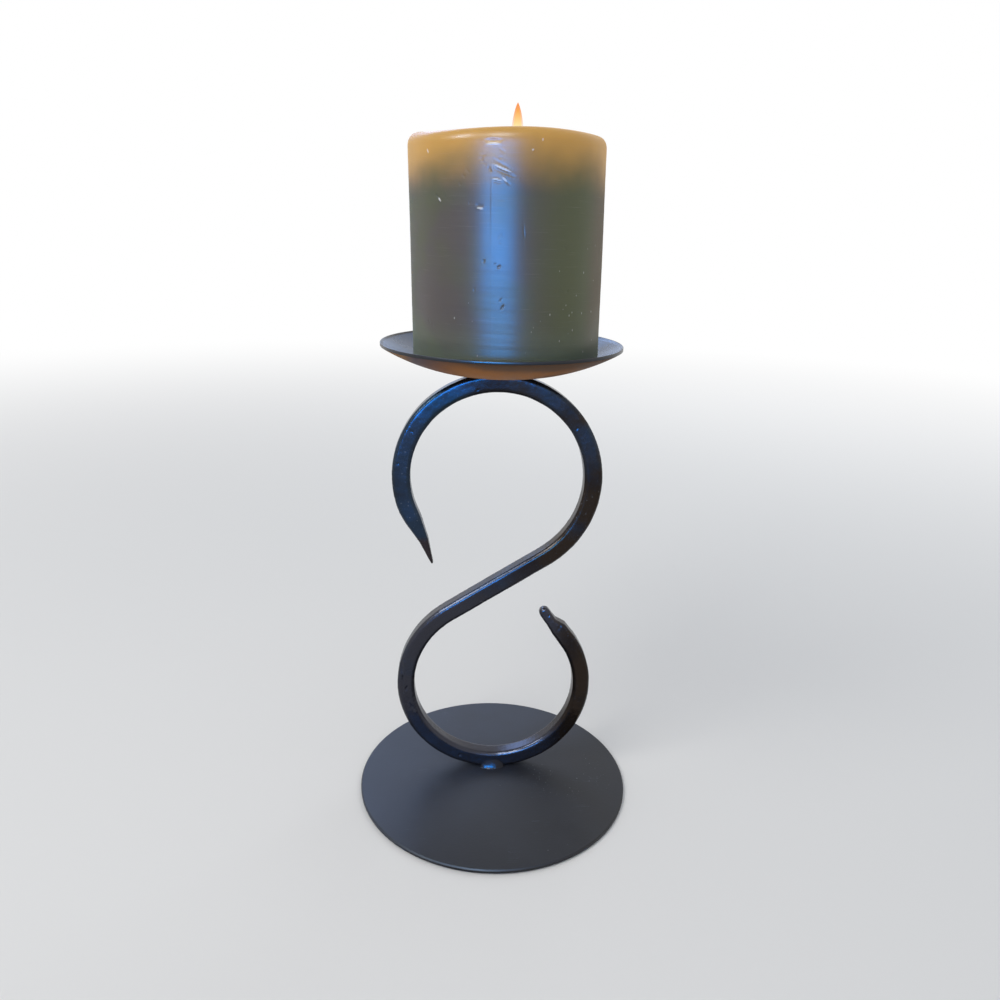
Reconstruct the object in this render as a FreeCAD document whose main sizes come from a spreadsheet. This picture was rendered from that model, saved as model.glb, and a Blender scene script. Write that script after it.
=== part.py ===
import FreeCAD, Part
import math
import os
import re
import Sketcher

# A spiral candle holder: a forged S of square bar between a round foot plate and a shallow dish, with a
# pillar candle on a spike. The origin is at the centre of the foot plate's underside, X runs along the S,
# Y to the back and Z up. Lengths are in millimetres and angles in degrees.
SIZES = {
    # foot plate, cut from sheet
    "plate_diameter": 127.0,
    "plate_thickness": 2.0,
    "plate_edge_bevel": 0.5,
    # the S: square bar, bent over the flat side, standing behind the middle of the plate
    "bar_side": 8.0,
    "bar_bevel": 1.2,
    "scroll_setback": 10.0,
    "seat_flat": 0.3,
    "diagonal_slope": 32.4,
    "diagonal_half": 25.9,
    "upper_shoulder_radius": 43.7,
    "upper_shoulder_turn": 125.4,
    "crown_radius": 42.0,
    "lower_shoulder_radius": 43.3,
    "lower_shoulder_turn": 135.5,
    "foot_radius": 41.3,
    # upper end: drawn out to a chisel point
    "upper_tail_lean": 21.5,
    "upper_tail_length": 28.3,
    "upper_break_station": 5.0,
    "upper_break_width": 7.4,
    "upper_break_shift": 0.35,
    "upper_waist_station": 16.5,
    "upper_waist_width": 4.1,
    "upper_waist_depth": 5.6,
    "upper_waist_bevel": 0.7,
    "upper_waist_shift": 1.0,
    "upper_tip_width": 0.9,
    "upper_tip_depth": 2.8,
    "upper_tip_bevel": 0.25,
    "upper_tip_shift": 0.35,
    # lower end: set down to a flat round tongue
    "lower_tail_lean": 35.3,
    "lower_break_station": 7.5,
    "lower_break_width": 7.6,
    "tongue_station": 12.3,
    "tongue_length": 6.0,
    "tongue_width": 5.0,
    "tongue_root_depth": 6.6,
    "tongue_end_depth": 4.8,
    "tongue_bevel": 1.0,
    "tongue_shift": 1.1,
    # drip dish, spun from thin sheet
    "dish_diameter": 101.6,
    "dish_sheet": 1.2,
    "dish_rise": 11.8,
    "dish_flat_diameter": 16.0,
    # spike that holds the candle, riveted through the dish
    "spike_diameter": 5.0,
    "spike_height": 20.0,
    "spike_tip_diameter": 0.8,
    "tenon_diameter": 3.0,
    "tenon_clearance": 0.05,
    # weld beads
    "foot_weld_length": 12.0,
    "foot_weld_height": 4.4,
    "foot_weld_reach": 2.6,
    "dish_weld_length": 8.0,
    "dish_weld_height": 1.6,
    "dish_weld_reach": 1.8,
    # pillar candle, already burning
    "candle_diameter": 77.5,
    "candle_height": 85.0,
    "candle_offset": 0.7,
    "candle_seat_gap": 0.3,
    "candle_foot_round": 1.5,
    "candle_rim_round": 4.0,
    "candle_rim_width": 5.5,
    "well_floor_diameter": 46.0,
    "well_depth": 7.0,
    "socket_clearance": 0.3,
    "socket_headroom": 1.0,
    # wick, bent over by burning
    "wick_diameter": 2.2,
    "wick_clearance": 0.05,
    "wick_standing": 3.0,
    "wick_bend_radius": 8.0,
    "wick_bend_turn": 38.0,
    "wick_end": 2.0,
    # how far a cutting shape runs past what it cuts
    "cut_overrun": 4.0,
}

# A quarter turn, in degrees
QUARTER = 90
# How close two lengths are taken as the same, in millimetres
SAME_LENGTH = 1e-6
# Where a weld bead's sections stand as shares of its length, and their size as shares of its full size
BEAD_STATION_SHARES = (-0.5, -0.28, 0.0, 0.28, 0.5)
BEAD_SIZE_SHARES = (0.3, 0.86, 1.0, 0.86, 0.3)
# Facets round a weld bead, along the dish's wall and round the candle's rim
BEAD_FACETS = 3
WALL_FACETS = 5
RIM_FACETS = 3
# Places on the wall of the candle's well, as shares of its width and depth
WELL_WALL_SHARES = ((0.2, 0.42), (0.52, 0.8))

doc = FreeCAD.newDocument("SpiralCandleHolder")
sheet = doc.addObject("Spreadsheet::Sheet", "Sizes")
for row, (alias, size) in enumerate(SIZES.items(), start=1):
    sheet.set(f"A{row}", alias)
    sheet.set(f"B{row}", str(size))
    sheet.setAlias(f"B{row}", alias)
doc.recompute()


def linked(text):
    """Puts the sheet's name before each alias in an expression."""
    return re.sub(r"[a-z_]+", lambda word: "Sizes." + word[0] if word[0] in SIZES else word[0], text)


def value(text):
    """The number that an expression of aliases gives now."""
    return float(doc.getObject("Sizes").evalExpression(linked(text)))


def bind(thing, path, text):
    """Ties one property to an expression of aliases."""
    thing.setExpression(path, linked(text))


def add_body(label, x="0", y="0", z="0"):
    """A body whose place follows the sheet."""
    body = doc.addObject("PartDesign::Body", label)
    body.Label = label
    body.Placement.Base = FreeCAD.Vector(value(x), value(y), value(z))
    bind(body, "Placement.Base.x", x)
    bind(body, "Placement.Base.y", y)
    bind(body, "Placement.Base.z", z)
    return body


def add_sketch(body, role, name, x="0", y="0", z="0", lean=None):
    """A sketch on one of the body's own origin planes, moved in that plane's frame. A lean turns it from
    the vertical towards -X."""
    sketch = body.newObject("Sketcher::SketchObject", name)
    plane = next(item for item in body.Origin.OriginFeatures if item.Role == role)
    sketch.AttachmentSupport = [(plane, "")]
    sketch.MapMode = "FlatFace"
    turn = FreeCAD.Rotation()
    if lean:
        turn = FreeCAD.Rotation(FreeCAD.Vector(0, -1, 0), value(lean))
    sketch.AttachmentOffset = FreeCAD.Placement(FreeCAD.Vector(value(x), value(y), value(z)), turn)
    bind(sketch, "AttachmentOffset.Base.x", x)
    bind(sketch, "AttachmentOffset.Base.y", y)
    bind(sketch, "AttachmentOffset.Base.z", z)
    if lean:
        bind(sketch, "AttachmentOffset.Rotation.Angle", lean)
    return sketch


def pin_coordinate(sketch, geometry, end, kind, axis, text):
    """Fixes one coordinate of a point, on the axis itself where the text is 0."""
    if text == "0":
        sketch.addConstraint(Sketcher.Constraint("PointOnObject", geometry, end, axis))
        return
    index = sketch.addConstraint(Sketcher.Constraint(kind, geometry, end, value(text)))
    bind(sketch, f"Constraints[{index}]", text)


def pin_point(sketch, geometry, end, point):
    """Fixes both coordinates of a point. Axis -2 is the vertical one, -1 the horizontal one."""
    pin_coordinate(sketch, geometry, end, "DistanceX", -2, point[0])
    pin_coordinate(sketch, geometry, end, "DistanceY", -1, point[1])


def arc_between(first, last, radius, turns_left, major):
    """An arc that leaves first and reaches last, and the ends of it that lie there."""
    start, end = (first, last) if turns_left else (last, first)
    chord = end - start
    middle = (start + end) * 0.5
    reach = math.sqrt(max(radius ** 2 - (chord.Length / 2) ** 2, 0))
    side = FreeCAD.Vector(-chord.y, chord.x, 0).normalize() * (-reach if major else reach)
    centre = middle + side
    angles = [math.atan2(point.y - centre.y, point.x - centre.x) for point in (start, end)]
    circle = Part.Circle(centre, FreeCAD.Vector(0, 0, 1), radius)
    ends = (1, 2) if turns_left else (2, 1)
    return Part.ArcOfCircle(circle, *angles), ends


def draw(sketch, start, steps, closed=True):
    """Draws lines and arcs from point to point. A step is (point,) for a line, or (point, radius, turn)
    for an arc, where turn is "left" or "right" and "left major" is more than half a circle."""
    last = start
    last_ref = None
    first_ref = None
    for number, step in enumerate(steps):
        here = FreeCAD.Vector(value(last[0]), value(last[1]), 0)
        there = FreeCAD.Vector(value(step[0][0]), value(step[0][1]), 0)
        if len(step) == 1:
            geometry = sketch.addGeometry(Part.LineSegment(here, there))
            ends = (1, 2)
        else:
            turn = step[2].split()
            arc, ends = arc_between(here, there, value(step[1]), turn[0] == "left", "major" in turn)
            geometry = sketch.addGeometry(arc)
            index = sketch.addConstraint(Sketcher.Constraint("Radius", geometry, value(step[1])))
            bind(sketch, f"Constraints[{index}]", step[1])
        if last_ref:
            sketch.addConstraint(Sketcher.Constraint("Coincident", *last_ref, geometry, ends[0]))
        else:
            first_ref = (geometry, ends[0])
            pin_point(sketch, *first_ref, start)
        if closed and number == len(steps) - 1:
            sketch.addConstraint(Sketcher.Constraint("Coincident", geometry, ends[1], *first_ref))
        else:
            pin_point(sketch, geometry, ends[1], step[0])
        last, last_ref = step[0], (geometry, ends[1])


def facets(centre, radius, first, last, count):
    """Places along an arc, without its first end: the angles run from the horizontal, turning left."""
    places = []
    for step in range(1, count + 1):
        angle = f"({first} + ({last} - ({first})) * {step} / {count})"
        places.append((f"{centre[0]} + ({radius}) * cos({angle})", f"{centre[1]} + ({radius}) * sin({angle})"))
    return places


def draw_bevelled_box(sketch, left, right, half_depth, bevel):
    """A box from left to right of the sketch's origin, with its four corners cut off."""
    bottom = f"-({half_depth})"
    corners = [
        (f"{left} + {bevel}", bottom),
        (f"{right} - {bevel}", bottom),
        (right, f"{bottom} + {bevel}"),
        (right, f"{half_depth} - {bevel}"),
        (f"{right} - {bevel}", half_depth),
        (f"{left} + {bevel}", half_depth),
        (left, f"{half_depth} - {bevel}"),
        (left, f"{bottom} + {bevel}"),
    ]
    draw(sketch, corners[0], [(corner,) for corner in corners[1:] + corners[:1]])


def axis_of(sketch, name="V_Axis"):
    return (sketch, [name])


def revolve(body, sketch, kind="PartDesign::Revolution", angle=360.0, reversed_turn=False):
    """Turns a sketch about its own vertical axis."""
    feature = body.newObject(kind, sketch.Name + "_turned")
    feature.Profile = sketch
    feature.ReferenceAxis = axis_of(sketch)
    feature.Angle = angle
    feature.Reversed = reversed_turn
    doc.recompute()
    return feature


def pocket(body, sketch, upwards):
    """Cuts past the sketch's plane, and makes sure that it took something away."""
    before = body.Shape.Volume
    feature = body.newObject("PartDesign::Pocket", sketch.Name + "_cut")
    feature.Profile = sketch
    feature.Reversed = upwards
    bind(feature, "Length", "cut_overrun")
    doc.recompute()
    if body.Shape.Volume >= before:
        raise RuntimeError(f"{feature.Name} cut nothing")
    return feature


def edges_at_height(shape, height):
    """The names of a shape's edges that lie wholly at one height."""
    names = []
    for number, edge in enumerate(shape.Edges, start=1):
        box = edge.BoundBox
        if abs(box.ZMin - height) < SAME_LENGTH and abs(box.ZMax - height) < SAME_LENGTH:
            names.append(f"Edge{number}")
    return names


# The S as a chain from the middle of its diagonal: a straight, a shoulder arc and an end arc. The lower
# half is the same chain turned through half a circle. Places are in the plane of the S.
def chain(side):
    """The three joints of one half of the S, and how high its end arc reaches above the middle."""
    shoulder = f"{side}_shoulder_radius"
    end_arc = "crown_radius" if side == "upper" else "foot_radius"
    heading = f"(diagonal_slope + {side}_shoulder_turn)"
    last_heading = f"(270 + {side}_tail_lean)"
    straight = ("diagonal_half * cos(diagonal_slope)", "diagonal_half * sin(diagonal_slope)")
    bend = (f"({straight[0]} + {shoulder} * (sin{heading} - sin(diagonal_slope)))",
            f"({straight[1]} + {shoulder} * (cos(diagonal_slope) - cos{heading}))")
    end = (f"({bend[0]} + {end_arc} * (sin{last_heading} - sin{heading}))",
           f"({bend[1]} + {end_arc} * (cos{heading} - cos{last_heading}))")
    top = f"({bend[1]} + {end_arc} * (1 + cos{heading}))"
    return straight, bend, end, top


def opposite(point):
    """A point of the upper half turned into the lower half."""
    return f"-({point[0]})", f"-({point[1]})"


UPPER_STRAIGHT, UPPER_BEND, UPPER_END, CROWN_RISE = chain("upper")
LOWER_STRAIGHT, LOWER_BEND, LOWER_END, FOOT_DROP = chain("lower")
MIDDLE_HEIGHT = f"(plate_thickness - seat_flat + bar_side / 2 + {FOOT_DROP})"
DISH_HEIGHT = f"({MIDDLE_HEIGHT} + {CROWN_RISE} + bar_side / 2 - seat_flat)"

# The dish's wall is one arc, tangent to its flat middle
BOWL_RADIUS = ("(((dish_diameter - dish_flat_diameter)^2 / 4 + dish_rise^2)"
               " / (2 * dish_rise))")
BOWL_REACH = "((dish_diameter - dish_flat_diameter) / 2)"
# The candle stands with its lower edge on that arc
CANDLE_REACH = "(candle_diameter / 2 + candle_offset - candle_foot_round - dish_flat_diameter / 2)"
CANDLE_HEIGHT_ON_DISH = (
    f"({BOWL_RADIUS} - candle_foot_round - sqrt(({BOWL_RADIUS} - dish_sheet - candle_foot_round"
    f" - candle_seat_gap)^2 - {CANDLE_REACH}^2))")
CANDLE_SEAT = f"({DISH_HEIGHT} + {CANDLE_HEIGHT_ON_DISH})"

# Foot plate
base_plate = add_body("base_plate")
plate_outline = add_sketch(base_plate, "XY_Plane", "plate_outline")
plate_circle = plate_outline.addGeometry(
    Part.Circle(FreeCAD.Vector(0, 0, 0), FreeCAD.Vector(0, 0, 1), value("plate_diameter / 2")))
plate_outline.addConstraint(Sketcher.Constraint("Coincident", plate_circle, 3, -1, 1))
plate_size = plate_outline.addConstraint(
    Sketcher.Constraint("Diameter", plate_circle, value("plate_diameter")))
bind(plate_outline, f"Constraints[{plate_size}]", "plate_diameter")
plate_pad = base_plate.newObject("PartDesign::Pad", "plate_pad")
plate_pad.Profile = plate_outline
bind(plate_pad, "Length", "plate_thickness")
doc.recompute()
plate_bevel = base_plate.newObject("PartDesign::Chamfer", "plate_bevel")
plate_bevel.Base = (plate_pad, edges_at_height(plate_pad.Shape, value("plate_thickness"))
                    + edges_at_height(plate_pad.Shape, 0))
bind(plate_bevel, "Size", "plate_edge_bevel")

# Scroll: the bar swept along the S, then its two ends
scroll = add_body("scroll", y="scroll_setback", z=MIDDLE_HEIGHT)
path = add_sketch(scroll, "XZ_Plane", "scroll_path")
foot_turn = value("270 + lower_tail_lean - diagonal_slope - lower_shoulder_turn")
crown_turn = value("270 + upper_tail_lean - diagonal_slope - upper_shoulder_turn")
draw(path, opposite(LOWER_END), [
    (opposite(LOWER_BEND), "foot_radius", "right major" if foot_turn > 180 else "right"),
    (opposite(LOWER_STRAIGHT), "lower_shoulder_radius", "right"),
    (UPPER_STRAIGHT,),
    (UPPER_BEND, "upper_shoulder_radius", "left"),
    (UPPER_END, "crown_radius", "left major" if crown_turn > 180 else "left"),
], closed=False)


def tail_section(side, name, station, left, right, half_depth, bevel):
    """A section across one end of the bar, at a distance along it from where the last arc stops."""
    start = UPPER_END if side == "upper" else opposite(LOWER_END)
    lean = f"{side}_tail_lean"
    along = f"({station})" if side == "lower" else f"(-{station})"
    x = f"{start[0]} - {along} * sin({lean})"
    z = f"{start[1]} + {along} * cos({lean})"
    sketch = add_sketch(scroll, "XY_Plane", name, x=x, z=z, lean=lean)
    draw_bevelled_box(sketch, left, right, half_depth, bevel)
    return sketch


def full_section(side, name):
    return tail_section(side, name, "0", "-bar_side / 2", "bar_side / 2", "bar_side / 2", "bar_bevel")


def loft(name, profile, sections):
    """Joins sections by flat facets, as a hammer leaves them."""
    feature = scroll.newObject("PartDesign::AdditiveLoft", name)
    feature.Profile = profile
    feature.Sections = sections
    feature.Ruled = True
    doc.recompute()
    return feature


bar = scroll.newObject("PartDesign::AdditivePipe", "bar")
bar.Profile = full_section("lower", "bar_section")
bar.Spine = path
bar.Mode = "Binormal"
bar.Binormal = FreeCAD.Vector(0, 1, 0)
doc.recompute()

upper_break = tail_section(
    "upper", "upper_break", "upper_break_station", "upper_break_shift - upper_break_width / 2",
    "upper_break_shift + upper_break_width / 2", "bar_side / 2", "bar_bevel")
upper_waist = tail_section(
    "upper", "upper_waist", "upper_waist_station", "upper_waist_shift - upper_waist_width / 2",
    "upper_waist_shift + upper_waist_width / 2", "upper_waist_depth / 2", "upper_waist_bevel")
upper_tip = tail_section(
    "upper", "upper_tip", "upper_tail_length", "upper_tip_shift - upper_tip_width / 2",
    "upper_tip_shift + upper_tip_width / 2", "upper_tip_depth / 2", "upper_tip_bevel")
loft("upper_tail", full_section("upper", "upper_tail_start"), [upper_break, upper_waist, upper_tip])

# The tongue is flush with the inner side of the bar, so its outer side steps in
TONGUE_LEFT = "(-tongue_width / 2 - tongue_shift)"
TONGUE_RIGHT = "(tongue_width / 2 - tongue_shift)"
lower_break = tail_section(
    "lower", "lower_break", "lower_break_station", "-bar_side / 2", "lower_break_width - bar_side / 2",
    "lower_break_width / 2", "bar_bevel")
tongue_root = tail_section(
    "lower", "tongue_root", "tongue_station", TONGUE_LEFT, TONGUE_RIGHT,
    "tongue_root_depth / 2", "tongue_bevel")
tongue_end = tail_section(
    "lower", "tongue_end", "tongue_station + tongue_length", TONGUE_LEFT, TONGUE_RIGHT,
    "tongue_end_depth / 2", "tongue_bevel")
loft("lower_tail", full_section("lower", "lower_tail_start"), [lower_break, tongue_root, tongue_end])

# The tongue's round end: half of its section turned about the middle of that section
tongue_middle = (
    f"{opposite(LOWER_END)[0]} - (tongue_station + tongue_length) * sin(lower_tail_lean)"
    " - tongue_shift * cos(lower_tail_lean)",
    f"{opposite(LOWER_END)[1]} + (tongue_station + tongue_length) * cos(lower_tail_lean)"
    " - tongue_shift * sin(lower_tail_lean)")
tongue_nose = add_sketch(scroll, "XY_Plane", "tongue_nose", x=tongue_middle[0], z=tongue_middle[1],
                         lean="lower_tail_lean")
draw(tongue_nose, ("0", "-tongue_end_depth / 2"), [
    (("tongue_width / 2 - tongue_bevel", "-tongue_end_depth / 2"),),
    (("tongue_width / 2", "-tongue_end_depth / 2 + tongue_bevel"),),
    (("tongue_width / 2", "tongue_end_depth / 2 - tongue_bevel"),),
    (("tongue_width / 2 - tongue_bevel", "tongue_end_depth / 2"),),
    (("0", "tongue_end_depth / 2"),),
    (("0", "-tongue_end_depth / 2"),),
])
revolve(scroll, tongue_nose, angle=180.0, reversed_turn=True)

# Flats filed on the foot and the crown, where the bar sits on the plate and carries the dish
for seat_name, seat_height, is_crown in (
        ("foot_flat", f"-({FOOT_DROP} + bar_side / 2 - seat_flat)", False),
        ("crown_flat", f"{CROWN_RISE} + bar_side / 2 - seat_flat", True)):
    seat = add_sketch(scroll, "XY_Plane", seat_name, z=seat_height)
    draw(seat, ("-foot_radius", "-bar_side"), [
        (("foot_radius", "-bar_side"),),
        (("foot_radius", "bar_side"),),
        (("-foot_radius", "bar_side"),),
        (("-foot_radius", "-bar_side"),),
    ])
    pocket(scroll, seat, upwards=is_crown)

# Drip dish
drip_dish = add_body("drip_dish", y="scroll_setback", z=DISH_HEIGHT)
dish_outline = add_sketch(drip_dish, "XZ_Plane", "dish_outline")
TENON_HOLE = "(tenon_diameter / 2 + tenon_clearance)"
INNER_RADIUS = f"({BOWL_RADIUS} - dish_sheet)"
BOWL_CENTRE = ("dish_flat_diameter / 2", BOWL_RADIUS)
OUTER_TURN = f"asin({BOWL_REACH} / {BOWL_RADIUS}) / 1deg"
INNER_TURN = f"asin({BOWL_REACH} / {INNER_RADIUS}) / 1deg"
INNER_EDGE = f"({BOWL_RADIUS} - sqrt({INNER_RADIUS}^2 - {BOWL_REACH}^2))"
underside = facets(BOWL_CENTRE, BOWL_RADIUS, f"-{QUARTER}", f"-{QUARTER} + {OUTER_TURN}", WALL_FACETS)[:-1]
upper_side = facets(BOWL_CENTRE, INNER_RADIUS, f"-{QUARTER} + {INNER_TURN}", f"-{QUARTER}", WALL_FACETS)[:-1]
dish_places = [
    ("dish_flat_diameter / 2", "0"),
    *underside,
    ("dish_diameter / 2", "dish_rise"),
    ("dish_diameter / 2", INNER_EDGE),
    *upper_side,
    ("dish_flat_diameter / 2", "dish_sheet"),
    (TENON_HOLE, "dish_sheet"),
    (TENON_HOLE, "0"),
]
draw(dish_outline, (TENON_HOLE, "0"), [(place,) for place in dish_places])
revolve(drip_dish, dish_outline)

# Spike
spike = add_body("spike", y="scroll_setback", z=DISH_HEIGHT)
spike_outline = add_sketch(spike, "XZ_Plane", "spike_outline")
draw(spike_outline, ("0", "0"), [
    (("tenon_diameter / 2", "0"),),
    (("tenon_diameter / 2", "dish_sheet"),),
    (("spike_diameter / 2", "dish_sheet"),),
    (("spike_tip_diameter / 2", "dish_sheet + spike_height"),),
    (("0", "dish_sheet + spike_height"),),
    (("0", "0"),),
])
revolve(spike, spike_outline)

# Candle, hollowed by its flame, with a channel for the wick and a socket for the spike
candle = add_body("candle", x="candle_offset", y="scroll_setback", z=CANDLE_SEAT)
candle_outline = add_sketch(candle, "XZ_Plane", "candle_outline")
WICK_CHANNEL = "(wick_diameter / 2 + wick_clearance)"
WELL_FLOOR = "(candle_height - well_depth)"
RIM_CENTRE = ("candle_diameter / 2 - candle_rim_round", "candle_height - candle_rim_round")
WELL_EDGE = ("candle_diameter / 2 - candle_rim_width", "candle_height")
WELL_FOOT = ("well_floor_diameter / 2", WELL_FLOOR)
candle_places = [
    ("candle_diameter / 2 - candle_foot_round", "0"),
    ("candle_diameter / 2", "candle_foot_round"),
    ("candle_diameter / 2", "candle_height - candle_rim_round"),
    *facets(RIM_CENTRE, "candle_rim_round", "0", f"{QUARTER}", RIM_FACETS)[:-1],
    ("candle_diameter / 2 - candle_rim_round", "candle_height"),
    WELL_EDGE,
    *[(f"{WELL_EDGE[0]} + ({WELL_FOOT[0]} - ({WELL_EDGE[0]})) * {across}",
       f"candle_height - well_depth * {down}") for across, down in WELL_WALL_SHARES],
    WELL_FOOT,
    (WICK_CHANNEL, WELL_FLOOR),
    (WICK_CHANNEL, "0"),
]
draw(candle_outline, (WICK_CHANNEL, "0"), [(place,) for place in candle_places])
revolve(candle, candle_outline)

socket = add_sketch(candle, "XZ_Plane", "socket", x="-candle_offset")
SOCKET_TOP = f"(dish_sheet + spike_height - {CANDLE_HEIGHT_ON_DISH} + socket_headroom)"
SPIKE_SLOPE = "((spike_diameter - spike_tip_diameter) / 2 / spike_height)"
SOCKET_MOUTH = (f"(spike_tip_diameter / 2 + {SPIKE_SLOPE} * (dish_sheet + spike_height"
                f" - {CANDLE_HEIGHT_ON_DISH}) + socket_clearance)")
draw(socket, ("0", "0"), [
    ((SOCKET_MOUTH, "0"),),
    (("spike_tip_diameter / 2 + socket_clearance", SOCKET_TOP),),
    (("0", SOCKET_TOP),),
    (("0", "0"),),
])
solid_wax = candle.Shape.Volume
revolve(candle, socket, kind="PartDesign::Groove")
if candle.Shape.Volume >= solid_wax:
    raise RuntimeError("the spike's socket cut nothing")

# Wick, from above the socket to its bent end over the well
wick = add_body("wick", x="candle_offset", y="scroll_setback", z=CANDLE_SEAT)
WICK_START = f"({SOCKET_TOP} + socket_headroom)"
wick_path = add_sketch(wick, "XZ_Plane", "wick_path")
wick_straight = ("0", f"{WELL_FLOOR} + wick_standing")
wick_bend = ("wick_bend_radius * (1 - cos(wick_bend_turn))",
             f"{wick_straight[1]} + wick_bend_radius * sin(wick_bend_turn)")
wick_tip = (f"{wick_bend[0]} + wick_end * sin(wick_bend_turn)",
            f"{wick_bend[1]} + wick_end * cos(wick_bend_turn)")
draw(wick_path, ("0", WICK_START), [
    (wick_straight,),
    (wick_bend, "wick_bend_radius", "right"),
    (wick_tip,),
], closed=False)
wick_section = add_sketch(wick, "XY_Plane", "wick_section", z=WICK_START)
wick_circle = wick_section.addGeometry(
    Part.Circle(FreeCAD.Vector(0, 0, 0), FreeCAD.Vector(0, 0, 1), value("wick_diameter / 2")))
wick_section.addConstraint(Sketcher.Constraint("Coincident", wick_circle, 3, -1, 1))
wick_size = wick_section.addConstraint(
    Sketcher.Constraint("Diameter", wick_circle, value("wick_diameter")))
bind(wick_section, f"Constraints[{wick_size}]", "wick_diameter")
wick_pipe = wick.newObject("PartDesign::AdditivePipe", "wick_pipe")
wick_pipe.Profile = wick_section
wick_pipe.Spine = wick_path


def weld_bead(label, sizes, seat, faces_back, hangs):
    """A bead in the corner between the bar's side and the plate or the dish, thickest at its middle."""
    out = 1 if faces_back else -1
    up = -1 if hangs else 1
    bead = add_body(label, y=f"scroll_setback + {out} * bar_side / 2", z=seat)
    sections = []
    for number, (station, share) in enumerate(zip(BEAD_STATION_SHARES, BEAD_SIZE_SHARES), start=1):
        section = add_sketch(bead, "YZ_Plane", f"{label}_section_{number}", z=f"{sizes}_length * {station}")
        rim = [(f"{out * share} * {sizes}_reach", "0")]
        for step in range(1, BEAD_FACETS):
            angle = f"({QUARTER} * {step} / {BEAD_FACETS})"
            rim.append((f"{out * share} * {sizes}_reach * cos({angle})",
                        f"{up * share} * {sizes}_height * sin({angle})"))
        rim.append(("0", f"{up * share} * {sizes}_height"))
        draw(section, ("0", "0"), [(place,) for place in rim + [("0", "0")]])
        sections.append(section)
    feature = bead.newObject("PartDesign::AdditiveLoft", f"{label}_loft")
    feature.Profile = sections[0]
    feature.Sections = sections[1:]
    feature.Ruled = True
    return bead


foot_weld_front = weld_bead("foot_weld_front", "foot_weld", "plate_thickness", faces_back=False, hangs=False)
foot_weld_back = weld_bead("foot_weld_back", "foot_weld", "plate_thickness", faces_back=True, hangs=False)
dish_weld_front = weld_bead("dish_weld_front", "dish_weld", DISH_HEIGHT, faces_back=False, hangs=True)
dish_weld_back = weld_bead("dish_weld_back", "dish_weld", DISH_HEIGHT, faces_back=True, hangs=True)

doc.recompute()

# Nothing is written unless every object is sound
for item in doc.Objects:
    if "Invalid" in item.State or "Error" in item.State:
        raise RuntimeError(f"{item.Name} failed: {item.State}")

PARTS = (base_plate, scroll, foot_weld_front, foot_weld_back, drip_dish, dish_weld_front, dish_weld_back,
         spike, candle, wick)
os.makedirs("parts", exist_ok=True)
for part in PARTS:
    shape = part.Shape
    if shape.isNull() or not shape.isValid() or not shape.Solids:
        raise RuntimeError(f"{part.Label} has no sound solid")
    shape.exportStep(os.path.join("parts", f"{part.Label}.step"))
    box = shape.BoundBox
    print(f"{part.Label}: {len(shape.Solids)} solid, {shape.Volume:.1f} mm3, "
          f"x {box.XMin:.2f} {box.XMax:.2f}, y {box.YMin:.2f} {box.YMax:.2f}, z {box.ZMin:.2f} {box.ZMax:.2f}")
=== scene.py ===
import math

import bpy
import numpy as np
from mathutils import Matrix, Vector, noise

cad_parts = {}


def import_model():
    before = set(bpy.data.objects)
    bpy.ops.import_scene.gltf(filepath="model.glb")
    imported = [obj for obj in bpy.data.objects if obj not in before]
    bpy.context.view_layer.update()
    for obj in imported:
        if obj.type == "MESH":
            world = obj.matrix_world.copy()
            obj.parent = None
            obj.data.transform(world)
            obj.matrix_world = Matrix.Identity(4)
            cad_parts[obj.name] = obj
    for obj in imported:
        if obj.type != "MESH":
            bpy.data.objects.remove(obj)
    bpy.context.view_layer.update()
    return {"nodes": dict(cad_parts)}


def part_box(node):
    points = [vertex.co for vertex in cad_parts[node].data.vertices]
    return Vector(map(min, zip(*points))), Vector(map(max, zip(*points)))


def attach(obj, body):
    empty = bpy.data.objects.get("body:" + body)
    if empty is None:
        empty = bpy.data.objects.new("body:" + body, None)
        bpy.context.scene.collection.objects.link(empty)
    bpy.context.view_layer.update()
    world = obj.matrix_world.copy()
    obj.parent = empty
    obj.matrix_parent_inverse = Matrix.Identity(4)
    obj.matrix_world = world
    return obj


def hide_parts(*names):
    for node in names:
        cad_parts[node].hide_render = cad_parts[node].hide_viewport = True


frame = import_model()

MM = 0.001
SCENE = bpy.context.scene

# The bar, the dish and the candle stand this far behind the plate's centre, in mm
AXIS_Y = 10.0


# Camera, fitted to the outlines in the photograph

CAMERA_PLACE = Vector((-23.83, -340.73, 259.50)) * MM
CAMERA_HEADING = math.radians(4.041)
CAMERA_PITCH = math.radians(18.701)
CAMERA_ROLL = math.radians(1.457)
LENS = 29.836
SENSOR = 36.0
NEAREST_SEEN = 0.01
FARTHEST_SEEN = 50.0

view = bpy.data.cameras.new("view")
view.lens = LENS
view.sensor_width = SENSOR
view.clip_start = NEAREST_SEEN
view.clip_end = FARTHEST_SEEN
camera = bpy.data.objects.new("view", view)
SCENE.collection.objects.link(camera)
camera.matrix_world = (
    Matrix.Translation(CAMERA_PLACE)
    @ Matrix.Rotation(-CAMERA_HEADING, 4, "Z")
    @ Matrix.Rotation(math.pi / 2 - CAMERA_PITCH, 4, "X")
    @ Matrix.Rotation(CAMERA_ROLL, 4, "Z")
)
SCENE.camera = camera


# Helpers for node materials

def new_material(name):
    made = bpy.data.materials.new(name)
    made.use_nodes = True
    made.node_tree.nodes.clear()
    return made, made.node_tree


def node(tree, kind, inputs=None, **settings):
    """A new node. An input that is given a socket is linked to it, and any other is set."""
    made = tree.nodes.new(kind)
    for name, value in settings.items():
        setattr(made, name, value)
    for key, value in (inputs or {}).items():
        if isinstance(value, bpy.types.NodeSocket):
            tree.links.new(value, made.inputs[key])
        else:
            made.inputs[key].default_value = value
    return made


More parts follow.
